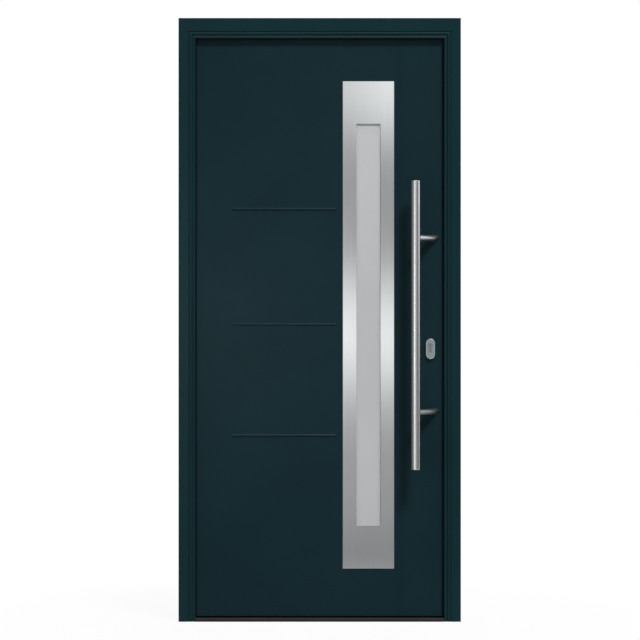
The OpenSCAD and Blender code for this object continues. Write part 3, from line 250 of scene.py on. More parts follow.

# %% [markdown]
# The escutcheon is an oblong plate round the cylinder. Its rim is painted lighter as a highlight, and the
# sunken field inside is painted darker as shade. The plate could be split in two, but it is one piece on
# the real door. The distance from the plate's spine is the same all along the rim, so a few maths nodes
# work that distance out from the Object coordinates.

# %% Distance from a spine
def from_spine(finish, middle, straight):
    """The distance from an upright spine of the given length, in metres."""
    tree = finish.node_tree
    place = tree.nodes.new("ShaderNodeTexCoord")
    centre = tree.nodes.new("ShaderNodeMapping")
    centre.inputs["Location"].default_value = -middle
    split = tree.nodes.new("ShaderNodeSeparateXYZ")
    join = tree.nodes.new("ShaderNodeCombineXYZ")
    reach = tree.nodes.new("ShaderNodeVectorMath")
    reach.operation = "LENGTH"
    tree.links.new(place.outputs["Object"], centre.inputs["Vector"])
    tree.links.new(centre.outputs["Vector"], split.inputs["Vector"])
    tree.links.new(split.outputs["X"], join.inputs["X"])
    height = split.outputs["Z"]
    for operation, value in (("ABSOLUTE", 0), ("SUBTRACT", straight / 2), ("MAXIMUM", 0)):
        step = tree.nodes.new("ShaderNodeMath")
        step.operation = operation
        step.inputs[1].default_value = value
        tree.links.new(height, step.inputs[0])
        height = step.outputs[0]
    tree.links.new(height, join.inputs["Z"])
    tree.links.new(join.outputs["Vector"], reach.inputs[0])
    return reach.outputs["Value"]


print("spine helper ready")

# %% [markdown]
# The plate's own measures come from its CAD node. A colour ramp on the distance then puts the step
# between the field's painted shade and the rim's painted highlight in place, with a soft edge of a few
# tenths of a millimetre.

# %% Escutcheon steel
# Painted light: the sunken field is painted darker as shade, and the rim lighter as a highlight.
PLATE_FIELD_SHADE = (0.31, 0.37, 0.37)
PLATE_RIM_HIGHLIGHT = (0.52, 0.605, 0.605)
RIM_W = 4 * MM
RIM_EDGE = 0.2 * MM
plate_low, plate_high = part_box("outer_escutcheon")
plate_middle = (plate_low + plate_high) / 2
plate_w = plate_high.x - plate_low.x
plate_straight = plate_high.z - plate_low.z - plate_w
field_r = plate_w / 2 - RIM_W
steel_plate, plate_shader = new_finish("steel_plate", PLATE_FIELD_SHADE, roughness=0.38, metallic=1.0)
reach = from_spine(steel_plate, plate_middle, plate_straight)
# The ramp paints shade into the field and a highlight onto the rim.
vary_colour(steel_plate, plate_shader, reach, PLATE_FIELD_SHADE, PLATE_RIM_HIGHLIGHT,
            low=field_r - RIM_EDGE, high=field_r + RIM_EDGE)
plate_gloss = noise_field(steel_plate, GLOSS_LINE_W)
plate_grain = noise_field(steel_plate, LINE_W, detail=4.0)
vary_roughness(steel_plate, plate_shader, plate_gloss, smooth=0.34, rough=0.42)
add_relief(steel_plate, plate_shader, plate_grain, LINE_D, strength=0.3)
print("escutcheon field radius", round(field_r / MM, 2), "mm")

# %% [markdown]
# Other metal is hidden or half hidden: zinc plated lock pieces and screws, cast corner cleats, the
# spacers between the panes, and the nickel plated cylinder with its key plugs. Plating and casting
# leave a cloudy surface without a direction, so one helper with one noise serves them all.

# %% Plated and cast metal
def plain_metal(name, colour, roughness, spot):
    """Plated or cast metal with a cloudy surface."""
    finish, shader = new_finish(name, colour, roughness, metallic=1.0)
    cloud = noise_field(finish, spot, detail=3.0)
    vary_colour(finish, shader, cloud, shade(colour, 0.85), shade(colour, 1.12))
    vary_roughness(finish, shader, cloud, smooth=roughness * 0.8, rough=roughness * 1.25)
    return finish


zinc_plate = plain_metal("zinc_plate", (0.42, 0.43, 0.45), roughness=0.34, spot=6 * MM)
cast_alloy = plain_metal("cast_alloy", (0.46, 0.46, 0.47), roughness=0.5, spot=3 * MM)
spacer_bar = plain_metal("spacer_bar", (0.22, 0.22, 0.23), roughness=0.45, spot=4 * MM)
nickel_plug = plain_metal("nickel_plug", (0.3, 0.33, 0.33), roughness=0.4, spot=4 * MM)
cylinder_nickel = plain_metal("cylinder_nickel", (0.235, 0.27, 0.27), roughness=0.38, spot=4 * MM)
print("metals:", [m.name for m in (zinc_plate, cast_alloy, spacer_bar, nickel_plug, cylinder_nickel)])

# %% [markdown]
# The threshold is extruded aluminium, anodised almost black. A metal shader would mirror the white
# floor and look like silver, so it is written as a dark layer with a low specular level. The lines of
# the extrusion run across the doorway.

# %% Threshold metal
DARK_ANODISED = (0.019, 0.016, 0.0152)
ANODISED_DEEP = (0.016, 0.0135, 0.013)
ANODISED_WORN = (0.022, 0.0185, 0.0175)
DIE_LINE_W = 1.5 * MM
DIE_LINE_D = 0.01 * MM
threshold_metal, threshold_shader = new_finish("threshold_metal", DARK_ANODISED,
                                               roughness=0.42, specular=0.1)
die_lines = noise_field(threshold_metal, DIE_LINE_W, GRAIN_ACROSS, detail=3.0)
vary_colour(threshold_metal, threshold_shader, die_lines, ANODISED_DEEP, ANODISED_WORN)
vary_roughness(threshold_metal, threshold_shader, die_lines, smooth=0.36, rough=0.5)
add_relief(threshold_metal, threshold_shader, die_lines, DIE_LINE_D, strength=0.5)
print("threshold:", threshold_metal.name)

# %% [markdown]
# The seals are rubber, and the thermal breaks are plastic. Both are matt and almost black, and both are
# pressed through a die, which leaves a faint tooth along their length. A flat black would look like a
# hole when the leaf stands open, so the tooth changes shade, gloss and height.

# %% Rubber and plastic
TOOTH_W = 1.4 * MM
TOOTH_D = 0.03 * MM
TOOTH_UP = (1, 1, 0.2)


def dark_soft(name, colour, roughness, stretch):
    """Extruded rubber or plastic."""
    finish, shader = new_finish(name, colour, roughness, specular=0.04)
    tooth = noise_field(finish, TOOTH_W, stretch)
    vary_colour(finish, shader, tooth, shade(colour, 0.8), shade(colour, 1.25))
    vary_roughness(finish, shader, tooth, smooth=roughness - 0.06, rough=roughness + 0.08)
    add_relief(finish, shader, tooth, TOOTH_D, strength=0.5)
    return finish


seal_rubber = dark_soft("seal_rubber", (0.0036, 0.0062, 0.0070), roughness=0.62, stretch=TOOTH_UP)
break_plastic = dark_soft("break_plastic", (0.012, 0.012, 0.012), roughness=0.5, stretch=GRAIN_ACROSS)
print("soft finishes:", seal_rubber.name, break_plastic.name)

# %% [markdown]
# The outer pane is etched, so it scatters light and shows an even pale grey. It could be clear glass
# with a rough face, but then its colour would depend on what stands behind the door. A pale base with a
# quarter of transmission gives the photograph's grey from all sides. The etching leaves a fine frost,
# which is a bump of two hundredths of a millimetre. The two panes behind it are clear.

# %% Glass
ETCHED = (0.545, 0.55, 0.56)
ETCHED_DEEP = (0.53, 0.535, 0.545)
ETCHED_PALE = (0.56, 0.565, 0.575)
FROST_W = 0.7 * MM
FROST_D = 0.02 * MM
HAZE_CLOUD = 250 * MM
CLEAR = (0.93, 0.96, 0.95)
WIPE_CLOUD = 50 * MM
frosted_glass, frost_shader = new_finish("frosted_glass", ETCHED, roughness=0.5, specular=0.3)
frost_shader.inputs["Transmission Weight"].default_value = 0.25
frost = noise_field(frosted_glass, FROST_W)
haze = noise_field(frosted_glass, HAZE_CLOUD)
vary_colour(frosted_glass, frost_shader, haze, ETCHED_DEEP, ETCHED_PALE)
vary_roughness(frosted_glass, frost_shader, frost, smooth=0.45, rough=0.58)
add_relief(frosted_glass, frost_shader, frost, FROST_D, strength=0.4)

clear_glass, clear_shader = new_finish("clear_glass", CLEAR, roughness=0.03)
clear_shader.inputs["Transmission Weight"].default_value = 1.0
clear_shader.inputs["IOR"].default_value = 1.5
wiped = noise_field(clear_glass, WIPE_CLOUD)
vary_roughness(clear_glass, clear_shader, wiped, smooth=0.02, rough=0.05)
print("glass:", frosted_glass.name, clear_glass.name)

# %% [markdown]
# Inside the leaf, timber stiles and rails stand round a foam core. The stiles show at the leaf's edge
# when it is open. A whole trunk of growth rings could be made and cut, but on a planed edge the rings
# are only long streaks. So timber is noise drawn out along the grain, and a narrow ramp sharpens it
# into darker late wood. Foam is fine cells, with more relief.

# %% Timber and foam
RING_W = 6 * MM
RING_D = 0.08 * MM
CELL_W = 1.8 * MM
CELL_D = 0.4 * MM
SOFTWOOD = (0.42, 0.25, 0.12)
LATE_WOOD = (0.30, 0.16, 0.07)
EARLY_WOOD = (0.47, 0.29, 0.14)
WOOD_UP = (1, 1, 0.03)
WOOD_ACROSS = (0.03, 1, 1)
FOAM = (0.70, 0.62, 0.42)
FOAM_DEEP = (0.60, 0.52, 0.34)
FOAM_PALE = (0.76, 0.68, 0.48)


def softwood(name, stretch):
    """Planed softwood with its grain along the stretched axis."""
    finish, shader = new_finish(name, SOFTWOOD, roughness=0.55, specular=0.3)
    rings = noise_field(finish, RING_W, stretch, detail=5.0)
    vary_colour(finish, shader, rings, LATE_WOOD, EARLY_WOOD, low=0.4, high=0.6)
    vary_roughness(finish, shader, rings, smooth=0.48, rough=0.66)
    add_relief(finish, shader, rings, RING_D, strength=0.4)
    return finish


timber_upright = softwood("timber_upright", WOOD_UP)
timber_across = softwood("timber_across", WOOD_ACROSS)
foam, foam_shader = new_finish("foam", FOAM, roughness=0.9, specular=0.1)
cells = noise_field(foam, CELL_W, detail=3.0)
vary_colour(foam, foam_shader, cells, FOAM_DEEP, FOAM_PALE)
add_relief(foam, foam_shader, cells, CELL_D, strength=0.6)
print("inside of the leaf:", timber_upright.name, timber_across.name, foam.name)

# %% [markdown]
# Now each CAD node gets its finish. Its shape and its place are right already, so its mesh is never
# touched: only its material slots change. The nodes could be dressed one by one, but a single table
# keeps the whole door in sight, and a node that it leaves out is printed.

# %% Dress the CAD nodes
dress = {
    frame_coat: ["hinge_jamb", "lock_jamb", "head"],
    leaf_coat: ["outer_skin", "inner_skin", "inner_surround"],
    steel_bar: ["pull_bar", "bar_end_caps"],
    steel_upright: ["glazing_surround", "main_strike", "swing_bolt_strikes",
                    "hinge_frame_wings", "hinge_leaf_wings", "hinge_pins", "faceplate"],
    steel_across: ["lever_handle", "latch_bolt", "dead_bolt"],
    steel_post: ["upper_post", "lower_post"],
    steel_plate: ["outer_escutcheon", "inner_escutcheon"],
    steel_round: ["lever_rosette", "bolt_caps", "upper_swing_bolt", "lower_swing_bolt"],
    zinc_plate: ["strike_screws", "hinge_frame_screws", "hinge_leaf_screws", "post_bolts",
                 "escutcheon_screws", "cylinder_screw", "faceplate_screws", "lock_case",
                 "upper_bolt_case", "lower_bolt_case", "spindle", "follower", "lock_cam",
                 "upper_rod", "lower_rod"],
    cast_alloy: ["corner_cleats"],
    spacer_bar: ["glass_spacers"],
    nickel_plug: ["key_plugs"],
    cylinder_nickel: ["cylinder_body"],
    threshold_metal: ["threshold", "threshold_inner"],
    seal_rubber: ["frame_seals", "bottom_seal", "glazing_tapes"],
    break_plastic: ["threshold_break", "glazing_frame"],
    frosted_glass: ["outer_pane"],
    clear_glass: ["middle_pane", "inner_pane"],
    timber_upright: ["hinge_stile", "lock_stile"],
    timber_across: ["top_rail", "bottom_rail"],
    foam: ["core"],
}
for finish, names in dress.items():
    for name in names:
        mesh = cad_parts[name].data
        mesh.materials.clear()
        mesh.materials.append(finish)
undressed = set(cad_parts) - {name for names in dress.values() for name in names}
print("dressed nodes:", len(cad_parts) - len(undressed), "left:", sorted(undressed))

# %% [markdown]
# For the seals, the tapes and the screws the CAD only holds a place, so they are modelled here. Each is
# shaped in a bmesh, Blender's mesh for editing, and then written to an object. The object could be
# moved and turned, but its grain on Object coordinates would turn with it. So it stays at the origin,
# with its place in its mesh, as the CAD nodes do. A piece rides on a CAD body, which moves it with the
# joints.

# %% From a bmesh to a piece
def to_object(shape, name, finish):
    """Writes the bmesh to a new object at the origin, with one finish."""
    mesh = bpy.data.meshes.new(name)
    shape.to_mesh(mesh)
    shape.free()
    mesh.materials.append(finish)
    made = bpy.data.objects.new(name, mesh)
    bpy.context.scene.collection.objects.link(made)
    return made


def make_piece(shape, name, finish, body, stands_for=()):
    """Makes the bmesh a piece that rides on a body and may stand for CAD nodes."""
    bmesh.ops.recalc_face_normals(shape, faces=shape.faces)
    piece = to_object(shape, name, finish)
    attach(piece, body)
    if stands_for:
        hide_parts(*stands_for)
    print(name, "faces:", len(piece.data.polygons), "rides on", body)
    return piece


print("piece helpers ready")

# %% [markdown]
# Most of the small pieces are a box that was cut, pushed and extruded. Each of these helpers wraps one
# operator, so that the cells below read like the steps of a modeller. An extrusion in a bmesh keeps the
# face that it started from, so that face is deleted, or it would be left inside.

# %% Boxes, cuts and growth
NEAR = 1e-6
FACING = 0.9


def add_box(shape, low, high):
    """A box between two corners, in metres, and its vertices."""
    low, high = Vector(low), Vector(high)
    made = bmesh.ops.create_cube(shape, size=1.0)["verts"]
    place = Matrix.Translation((low + high) / 2) @ Matrix.Diagonal((*(high - low), 1))
    bmesh.ops.transform(shape, matrix=place, verts=made)
    return made


def cut_at(shape, place, along):
    """Cuts the whole shape by a plane, so that it can bend or grow there."""
    everything = shape.verts[:] + shape.edges[:] + shape.faces[:]
    bmesh.ops.bisect_plane(shape, geom=everything, plane_co=place, plane_no=along, dist=NEAR)


def grow(shape, faces, way):
    """Extrudes faces by a vector and gives the new vertices."""
    grown = bmesh.ops.extrude_face_region(shape, geom=faces)["geom"]
    ends = [g for g in grown if isinstance(g, bmesh.types.BMVert)]
    bmesh.ops.delete(shape, geom=faces, context="FACES_ONLY")
    bmesh.ops.translate(shape, vec=way, verts=ends)
    return ends


print("shape helpers ready")

# %% [markdown]
# The seal between the frame's stop and the leaf is a rubber strip. Its foot sits in the stop's groove,
# and a soft bulb at its free edge takes the pressure of the leaf. Its section could be drawn point by
# point and extruded. Operators on a box show better what each part of it is: a bevel rounds the bulb,
# cuts along the length leave edges that are pushed in for the neck, and the face between two cuts grows
# into the foot.

# %% A length of seal
seal_low, seal_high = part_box("frame_seals")
FOOT_D = 4.5 * MM
SEAL_BACK = seal_low.y + FOOT_D
SEAL_FRONT = seal_high.y
REACH = 5 * MM
BULB_R = 3.1 * MM
BODY_IN = 21 * MM
FOOT_IN = (19 * MM, 15 * MM)
NECK_IN = (3.6 * MM, 2.4 * MM, 1.2 * MM)
NECK_MIDDLE = NECK_IN[1]
NECK_D = 3.2 * MM
WEB_D = 1.6 * MM


def seal_length(shape, length):
    """A seal along +Z, with X measured from the edge of the stop towards the opening."""
    strip = add_box(shape, (-BODY_IN, SEAL_BACK, 0), (REACH, SEAL_FRONT, length))
    tip = [v for v in strip if abs(v.co.x - REACH) < NEAR]
    nose = [e for e in shape.edges if all(v in tip for v in e.verts) and e.calc_length() > length / 2]
    bmesh.ops.bevel(shape, geom=nose, offset=BULB_R, segments=5, profile=0.5, affect="EDGES", material=-1)
    for cut in (*FOOT_IN, *NECK_IN):
        cut_at(shape, (-cut, 0, 0), (1, 0, 0))
    for vert in [v for v in shape.verts if abs(v.co.y - SEAL_FRONT) < NEAR]:
        if abs(vert.co.x + NECK_MIDDLE) < NEAR:
            vert.co.y -= NECK_D
        elif vert.co.x < -NECK_MIDDLE:
            vert.co.y -= WEB_D
    foot_x = -sum(FOOT_IN) / 2
    backs = [f for f in shape.faces if f.normal.y < -FACING]
    foot = [f for f in backs if abs(f.calc_center_median().x - foot_x) < NEAR]
    grow(shape, foot, (0, -FOOT_D, 0))


print("seal section", round((BODY_IN + REACH) / MM, 1), "mm wide")

# %% [markdown]
# One shape serves all three sides of the frame: it stands at the hinge jamb, is mirrored for the lock
# jamb, and lies under the head. Three different sections would be easier to place, but a real frame is
# cut from one roll of seal. A mirrored mesh is inside out, which make_piece puts right.

# %% Frame seals
def seal_piece(name, length, place, stands_for=()):
    """One length of seal, set in its place."""
    shape = bmesh.new()
    seal_length(shape, length)
    bmesh.ops.transform(shape, matrix=place, verts=shape.verts)
    return make_piece(shape, name, seal_rubber, "frame", stands_for)


HEAD_CLEAR = 0.1 * MM
EDGE_X = seal_high.x - BODY_IN
EDGE_Z = seal_high.z - BODY_IN
jamb_seal = EDGE_Z - REACH - HEAD_CLEAR - seal_low.z
hinge_place = Matrix.Translation((-EDGE_X, 0, seal_low.z))
lock_place = Matrix.Translation((EDGE_X, 0, seal_low.z)) @ Matrix.Diagonal((-1, 1, 1, 1))
lay_down = Matrix.Rotation(math.radians(90), 4, "Y")
head_place = Matrix.Translation((-EDGE_X, 0, EDGE_Z)) @ lay_down
seal_piece("hinge_jamb_seal", jamb_seal, hinge_place, ["frame_seals"])
seal_piece("lock_jamb_seal", jamb_seal, lock_place)
seal_piece("head_seal", 2 * EDGE_X, head_place)

# %% [markdown]
# Under the leaf, a strip with two tapered lips brushes the threshold and keeps out the draught. Bent
# sheets with a thickness would suit curved lips, but these hang straight. So a flat strip is cut into
# three lanes, the outer two grow down, and their ends are scaled thin.

# %% Bottom seal
STRIP_T = 1.9 * MM
LIP_THIN = 0.3
strip_low, strip_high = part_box("bottom_seal")
lip_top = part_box("outer_skin")[0].z
lip_w = (strip_high.y - strip_low.y) / 3
middle = (strip_low.y + strip_high.y) / 2
lips = bmesh.new()
add_box(lips, (strip_low.x, strip_low.y, lip_top), (strip_high.x, strip_high.y, lip_top + STRIP_T))
for cut in (strip_low.y + lip_w, strip_high.y - lip_w):
    cut_at(lips, (0, cut, 0), (0, 1, 0))
lips.normal_update()
under = [f for f in lips.faces if f.normal.z < -FACING]
for lip in [f for f in under if abs(f.calc_center_median().y - middle) > lip_w / 2]:
    centre = lip.calc_center_median()
    ends = grow(lips, [lip], (0, 0, strip_low.z - lip_top))
    bmesh.ops.scale(lips, vec=(1, LIP_THIN, 1), space=Matrix.Translation(-centre), verts=ends)
make_piece(lips, "bottom_lip_seal", seal_rubber, "leaf", ["bottom_seal"])

# %% [markdown]
# The tapes and the screws of the CAD are several plain solids in one node. Their places could be
# written here again, but then a change would have to be made in two files. So they are read from the
# node: a copy of its mesh is welded and walked from point to point, and each island that comes out is
# one solid.

# %% Find the solids of a node
def solids_of(node):
    """The two corners of each solid in a CAD node, sorted from the bottom up, then into the house."""
    shape = bmesh.new()
    shape.from_mesh(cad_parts[node].data)
    bmesh.ops.remove_doubles(shape, verts=shape.verts, dist=NEAR)
    left = set(shape.verts)
    boxes = []
    while left:
        island = set()
        front = {next(iter(left))}
        while front:
            island |= front
            front = {e.other_vert(v) for v in front for e in v.link_edges} - island
        left -= island
        low = Vector([min(v.co[axis] for v in island) for axis in range(3)])
        high = Vector([max(v.co[axis] for v in island) for axis in range(3)])
        boxes.append((low, high))
    shape.free()
    return sorted(boxes, key=lambda box: (round(box[0].z / MM), box[0].y))


print("hinge screws in the leaf:", len(solids_of("hinge_leaf_screws")))

# %% [markdown]
# The glazing tapes are thin soft rings that hold the panes, one in front and one behind. Four strips
# could make a ring, but they would leave seams at its corners. So each ring starts as a flat box. Its
# two broad faces are inset and taken out, and the openings are bridged.

# %% Glazing tapes
TAPE_W = 13 * MM
tapes = bmesh.new()
for low, high in solids_of("glazing_tapes"):
    ring = add_box(tapes, low, high)
    broad = [f for f in tapes.faces if abs(f.normal.y) > FACING and all(v in ring for v in f.verts)]
    bmesh.ops.inset_individual(tapes, faces=broad, thickness=TAPE_W)
    rims = [f for f in broad if f.is_valid]
    loops = [e for f in rims for e in f.edges]
    bmesh.ops.delete(tapes, geom=rims, context="FACES_ONLY")
    bmesh.ops.bridge_loops(tapes, edges=loops)
make_piece(tapes, "glazing_tape_rings", seal_rubber, "leaf", ["glazing_tapes"])

# %% [markdown]
# Screws show in the hinges, the strikes and the lock's faceplate. Each has a countersunk head with a
# star recess. A Boolean could cut the star, but it leaves long thin faces. Here one shell is shaped: a
# cone is the head, its lower cap grows into the shank and is drawn in at the tip, and its upper cap is
# inset. Every second pair of points of that inset is drawn in, and the star is pushed down into the
# head.

# %% A star screw
HEAD_T = 2.5 * MM
HEAD_SIDES = 24
TIP_DRAW = 0.6
SOCKET_RIM = 0.75
SOCKET_D = 1.4 * MM
STAR_DRAW = 0.72


def star_screw(shape, head_d, length, place):
    """A countersunk screw that points along -Z from its head at the origin, set in its place."""
    before = set(shape.verts)
    head_r = head_d / 2
    shank_r = head_r / 2
    bmesh.ops.create_cone(shape, cap_ends=True, segments=HEAD_SIDES, radius1=shank_r, radius2=head_r,
                          depth=HEAD_T, matrix=Matrix.Translation((0, 0, -HEAD_T / 2)))
    made = [v for v in shape.verts if v not in before]
    shape.normal_update()
    caps = [f for f in shape.faces if len(f.verts) == HEAD_SIDES and f.verts[0] in made]
    bottom, top = sorted(caps, key=lambda f: f.calc_center_median().z)
    tip = grow(shape, [bottom], (0, 0, HEAD_T - length))
    bmesh.ops.scale(shape, vec=(TIP_DRAW, TIP_DRAW, 1), verts=tip)
    bmesh.ops.inset_region(shape, faces=[top], thickness=shank_r * SOCKET_RIM, use_even_offset=True)
    for i, vert in enumerate(top.verts):
        if i % 4 in (2, 3):
            vert.co.x *= STAR_DRAW
            vert.co.y *= STAR_DRAW
    grow(shape, [top], (0, 0, -SOCKET_D))
    bmesh.ops.transform(shape, matrix=place, verts=[v for v in shape.verts if v not in before])


print("star screws have", HEAD_SIDES, "sides")

# %% [markdown]
# Each group stands for one CAD node. The box of a plain screw says where the new one sits, how long and
# how thick it is, and the heads of a group all face one way. Exact copies would look like a pattern, so
# every screw stops at another angle, as after real tightening.

# %% Screws
SPIN_STEP = 17
UP = Vector((0, 0, 1))
TO_INSIDE = Vector((0, 1, 0))
TO_LOCK_SIDE = Vector((1, 0, 0))
TO_HINGE_SIDE = Vector((-1, 0, 0))


def screw_group(name, node, body, facing):
    """Star screws in the places of a node's plain screws, with their heads facing one way."""
    turn = UP.rotation_difference(facing).to_matrix().to_4x4()
    shape = bmesh.new()
    for i, (low, high) in enumerate(solids_of(node)):
        size = high - low
        length = abs(size.dot(facing))
        head_d = max(size[axis] for axis in range(3) if facing[axis] == 0)
        head = (low + high) / 2 + facing * length / 2
        spin = Matrix.Rotation(math.radians(SPIN_STEP * i), 4, "Z")
        star_screw(shape, head_d, length, Matrix.Translation(head) @ turn @ spin)
    return make_piece(shape, name, zinc_plate, body, [node])


screw_group("hinge_frame_star_screws", "hinge_frame_screws", "frame", TO_INSIDE)
screw_group("hinge_leaf_star_screws", "hinge_leaf_screws", "leaf", TO_INSIDE)
screw_group("strike_star_screws", "strike_screws", "frame", TO_HINGE_SIDE)
screw_group("faceplate_star_screws", "faceplate_screws", "leaf", TO_LOCK_SIDE)
screw_group("cylinder_star_screw", "cylinder_screw", "leaf", TO_LOCK_SIDE)
screw_group("escutcheon_star_screws", "escutcheon_screws", "leaf", TO_INSIDE)

# %% [markdown]
# The photograph shows the door alone on white. The world gives that white to every ray that meets it
# straight from the camera, in a reflection or through glass. If it lit the door with the same strength,
# the dark paint would turn pale and the shadows would fill up. So for all other rays it is a weak grey
# light. A Light Path node tells the rays apart.

# %% World
WORLD_LIGHT = 0.15
WHITE = 1.0
scene = bpy.context.scene
scene.view_settings.view_transform = "Standard"
world = bpy.data.worlds.new("studio")
scene.world = world
world.use_nodes = True


def seen_directly(tree):
    """1 for a camera, glossy or transmission ray, 0 for light that falls on a matt surface."""
    path = tree.nodes.new("ShaderNodeLightPath")
    total = path.outputs["Is Camera Ray"]
    for name in ("Is Glossy Ray", "Is Transmission Ray"):
        either = tree.nodes.new("ShaderNodeMath")
        either.operation = "MAXIMUM"
        tree.links.new(total, either.inputs[0])
        tree.links.new(path.outputs[name], either.inputs[1])
        total = either.outputs[0]
    return total


tree = world.node_tree
background = tree.nodes["Background"]
background.inputs["Color"].default_value = (1, 1, 1, 1)
level = tree.nodes.new("ShaderNodeMapRange")
level.inputs["To Min"].default_value = WORLD_LIGHT
level.inputs["To Max"].default_value = WHITE
tree.links.new(seen_directly(tree), level.inputs["Value"])
tree.links.new(level.outputs["Result"], background.inputs["Strength"])
print("world light", WORLD_LIGHT)

# %% [markdown]
# The floor is a pale sheet that fades into the white. A painted floor alone would end in a grey edge,
# and a glowing one would lose the door's shadow. So it is a mix of both: far from the door only the
# glow is left, and close to it a share of the shaded paint stays, which keeps the shadow.

# %% Floor
FLOOR_HALF = 40
FLOOR_GREY = (0.6, 0.6, 0.6)
FLOOR_GLOW = 0.94
SHADOW_NEAR = 0.5
SHADOW_FAR = 1.6
floor_paint, floor_shader = new_finish("floor_paint", FLOOR_GREY, roughness=0.9, specular=0.0)
tree = floor_paint.node_tree
place = tree.nodes.new("ShaderNodeTexCoord")
away = tree.nodes.new("ShaderNodeVectorMath")
away.operation = "LENGTH"
near = tree.nodes.new("ShaderNodeMapRange")
near.interpolation_type = "SMOOTHSTEP"
near.inputs["From Min"].default_value = SHADOW_NEAR
near.inputs["From Max"].default_value = SHADOW_FAR
near.inputs["To Min"].default_value = FLOOR_GLOW
near.inputs["To Max"].default_value = WHITE
share = tree.nodes.new("ShaderNodeMath")
share.operation = "MULTIPLY"
glow = tree.nodes.new("ShaderNodeEmission")
blend_pale = tree.nodes.new("ShaderNodeMixShader")
tree.links.new(place.outputs["Object"], away.inputs[0])
tree.links.new(away.outputs["Value"], near.inputs["Value"])
tree.links.new(seen_directly(tree), share.inputs[0])
tree.links.new(near.outputs["Result"], share.inputs[1])
tree.links.new(share.outputs[0], blend_pale.inputs["Fac"])
tree.links.new(floor_shader.outputs[0], blend_pale.inputs[1])
tree.links.new(glow.outputs[0], blend_pale.inputs[2])
tree.links.new(blend_pale.outputs[0], tree.nodes["Material Output"].inputs["Surface"])

floor_shape = bmesh.new()
bmesh.ops.create_grid(floor_shape, x_segments=1, y_segments=1, size=FLOOR_HALF)
floor = to_object(floor_shape, "floor", floor_paint)
print("floor", tuple(floor.dimensions))

# %% [markdown]
# Satin steel looks like what it reflects, so it needs something to show. More lamps would give it
# that, but they would light the paint as well. Instead, grey cards stand round the door, as in a
# photographer's studio, and only glossy rays see them. They shape the steel and the paint's faint sheen
# and light nothing. A card's glow runs through a colour ramp over its height.

# %% A card's glow
def card_paint(name, stops):
    """A glow that changes with the height; stops are (height above the floor, brightness)."""
    paint = bpy.data.materials.new(name)
    paint.use_nodes = True
    tree = paint.node_tree
    tree.nodes.clear()
    low, high = stops[0][0], stops[-1][0]
    peak = max(bright for z, bright in stops)
    place = tree.nodes.new("ShaderNodeTexCoord")
    split = tree.nodes.new("ShaderNodeSeparateXYZ")
    scale = tree.nodes.new("ShaderNodeMapRange")
    scale.inputs["From Min"].default_value = low
    scale.inputs["From Max"].default_value = high
    ramp = tree.nodes.new("ShaderNodeValToRGB")
    marks = ramp.color_ramp.elements
    while len(marks) < len(stops):
        marks.new(0.5)
    for mark, (z, bright) in zip(marks, stops):
        mark.position = (z - low) / (high - low)
        mark.color = (*[bright / peak] * 3, 1)
    light = tree.nodes.new("ShaderNodeEmission")
    light.inputs["Strength"].default_value = peak
    out = tree.nodes.new("ShaderNodeOutputMaterial")
    tree.links.new(place.outputs["Object"], split.inputs["Vector"])
    tree.links.new(split.outputs["Z"], scale.inputs["Value"])
    tree.links.new(scale.outputs["Result"], ramp.inputs["Fac"])
    tree.links.new(ramp.outputs["Color"], light.inputs["Color"])
    tree.links.new(light.outputs[0], out.inputs["Surface"])
    return paint


print("card paint helper ready")

# %% [markdown]
# A card is one upright face. It isn't part of the door, and its object's ray switches hide it from
# everything but reflections.

# %% A card
UNIT_HALF = 0.5


def reflection_card(name, middle, width, height, turn_deg, stops):
    """An upright card that only reflections see."""
    upright = Matrix.Rotation(math.radians(90), 4, "X")
    turn = Matrix.Rotation(math.radians(turn_deg), 4, "Z")
    place = Matrix.Translation(middle) @ turn @ upright @ Matrix.Diagonal((width, height, 1, 1))
    shape = bmesh.new()
    bmesh.ops.create_grid(shape, x_segments=1, y_segments=1, size=UNIT_HALF)
    bmesh.ops.transform(shape, matrix=place, verts=shape.verts)
    card = to_object(shape, name, card_paint(name, stops))
    card.visible_camera = False
    card.visible_diffuse = False
    card.visible_shadow = False
    card.visible_transmission = False
    return card


print("card helper ready")

# %% [markdown]
# The brightness of a card could be set by trial. It is easier to write it by the heights on the door
# where the photograph shows light and dark bands, and to move each height to where the camera's
# mirrored view meets the card. The steel's bands sit a little higher on the left limb of the surround
# than on the right, and its topmost band is brighter on the right.

# %% Brightness by height
EYE_Z = cad_box[1][2] / 2
EYE_AWAY = 8.0
STUDIO_LOW = -0.5
STUDIO_HIGH = 3.1
TOP_BAND_Z = 1.6
BAND_SHIFT = 0.008


def mirrored(stops, away):
    """Heights on the door, moved to where the camera's mirrored view meets a card that far away."""
    return [(z + (z - EYE_Z) * away / EYE_AWAY, bright) for z, bright in stops]


def even(bright):
    """The same brightness over the whole height."""
    return [(STUDIO_LOW, bright), (STUDIO_HIGH, bright)]


def limb(stops, shift, top_factor):
    """The bands of one limb, with the top band made lighter or darker."""
    return [(z + shift, bright if z < TOP_BAND_Z else top_factor * bright) for z, bright in stops]


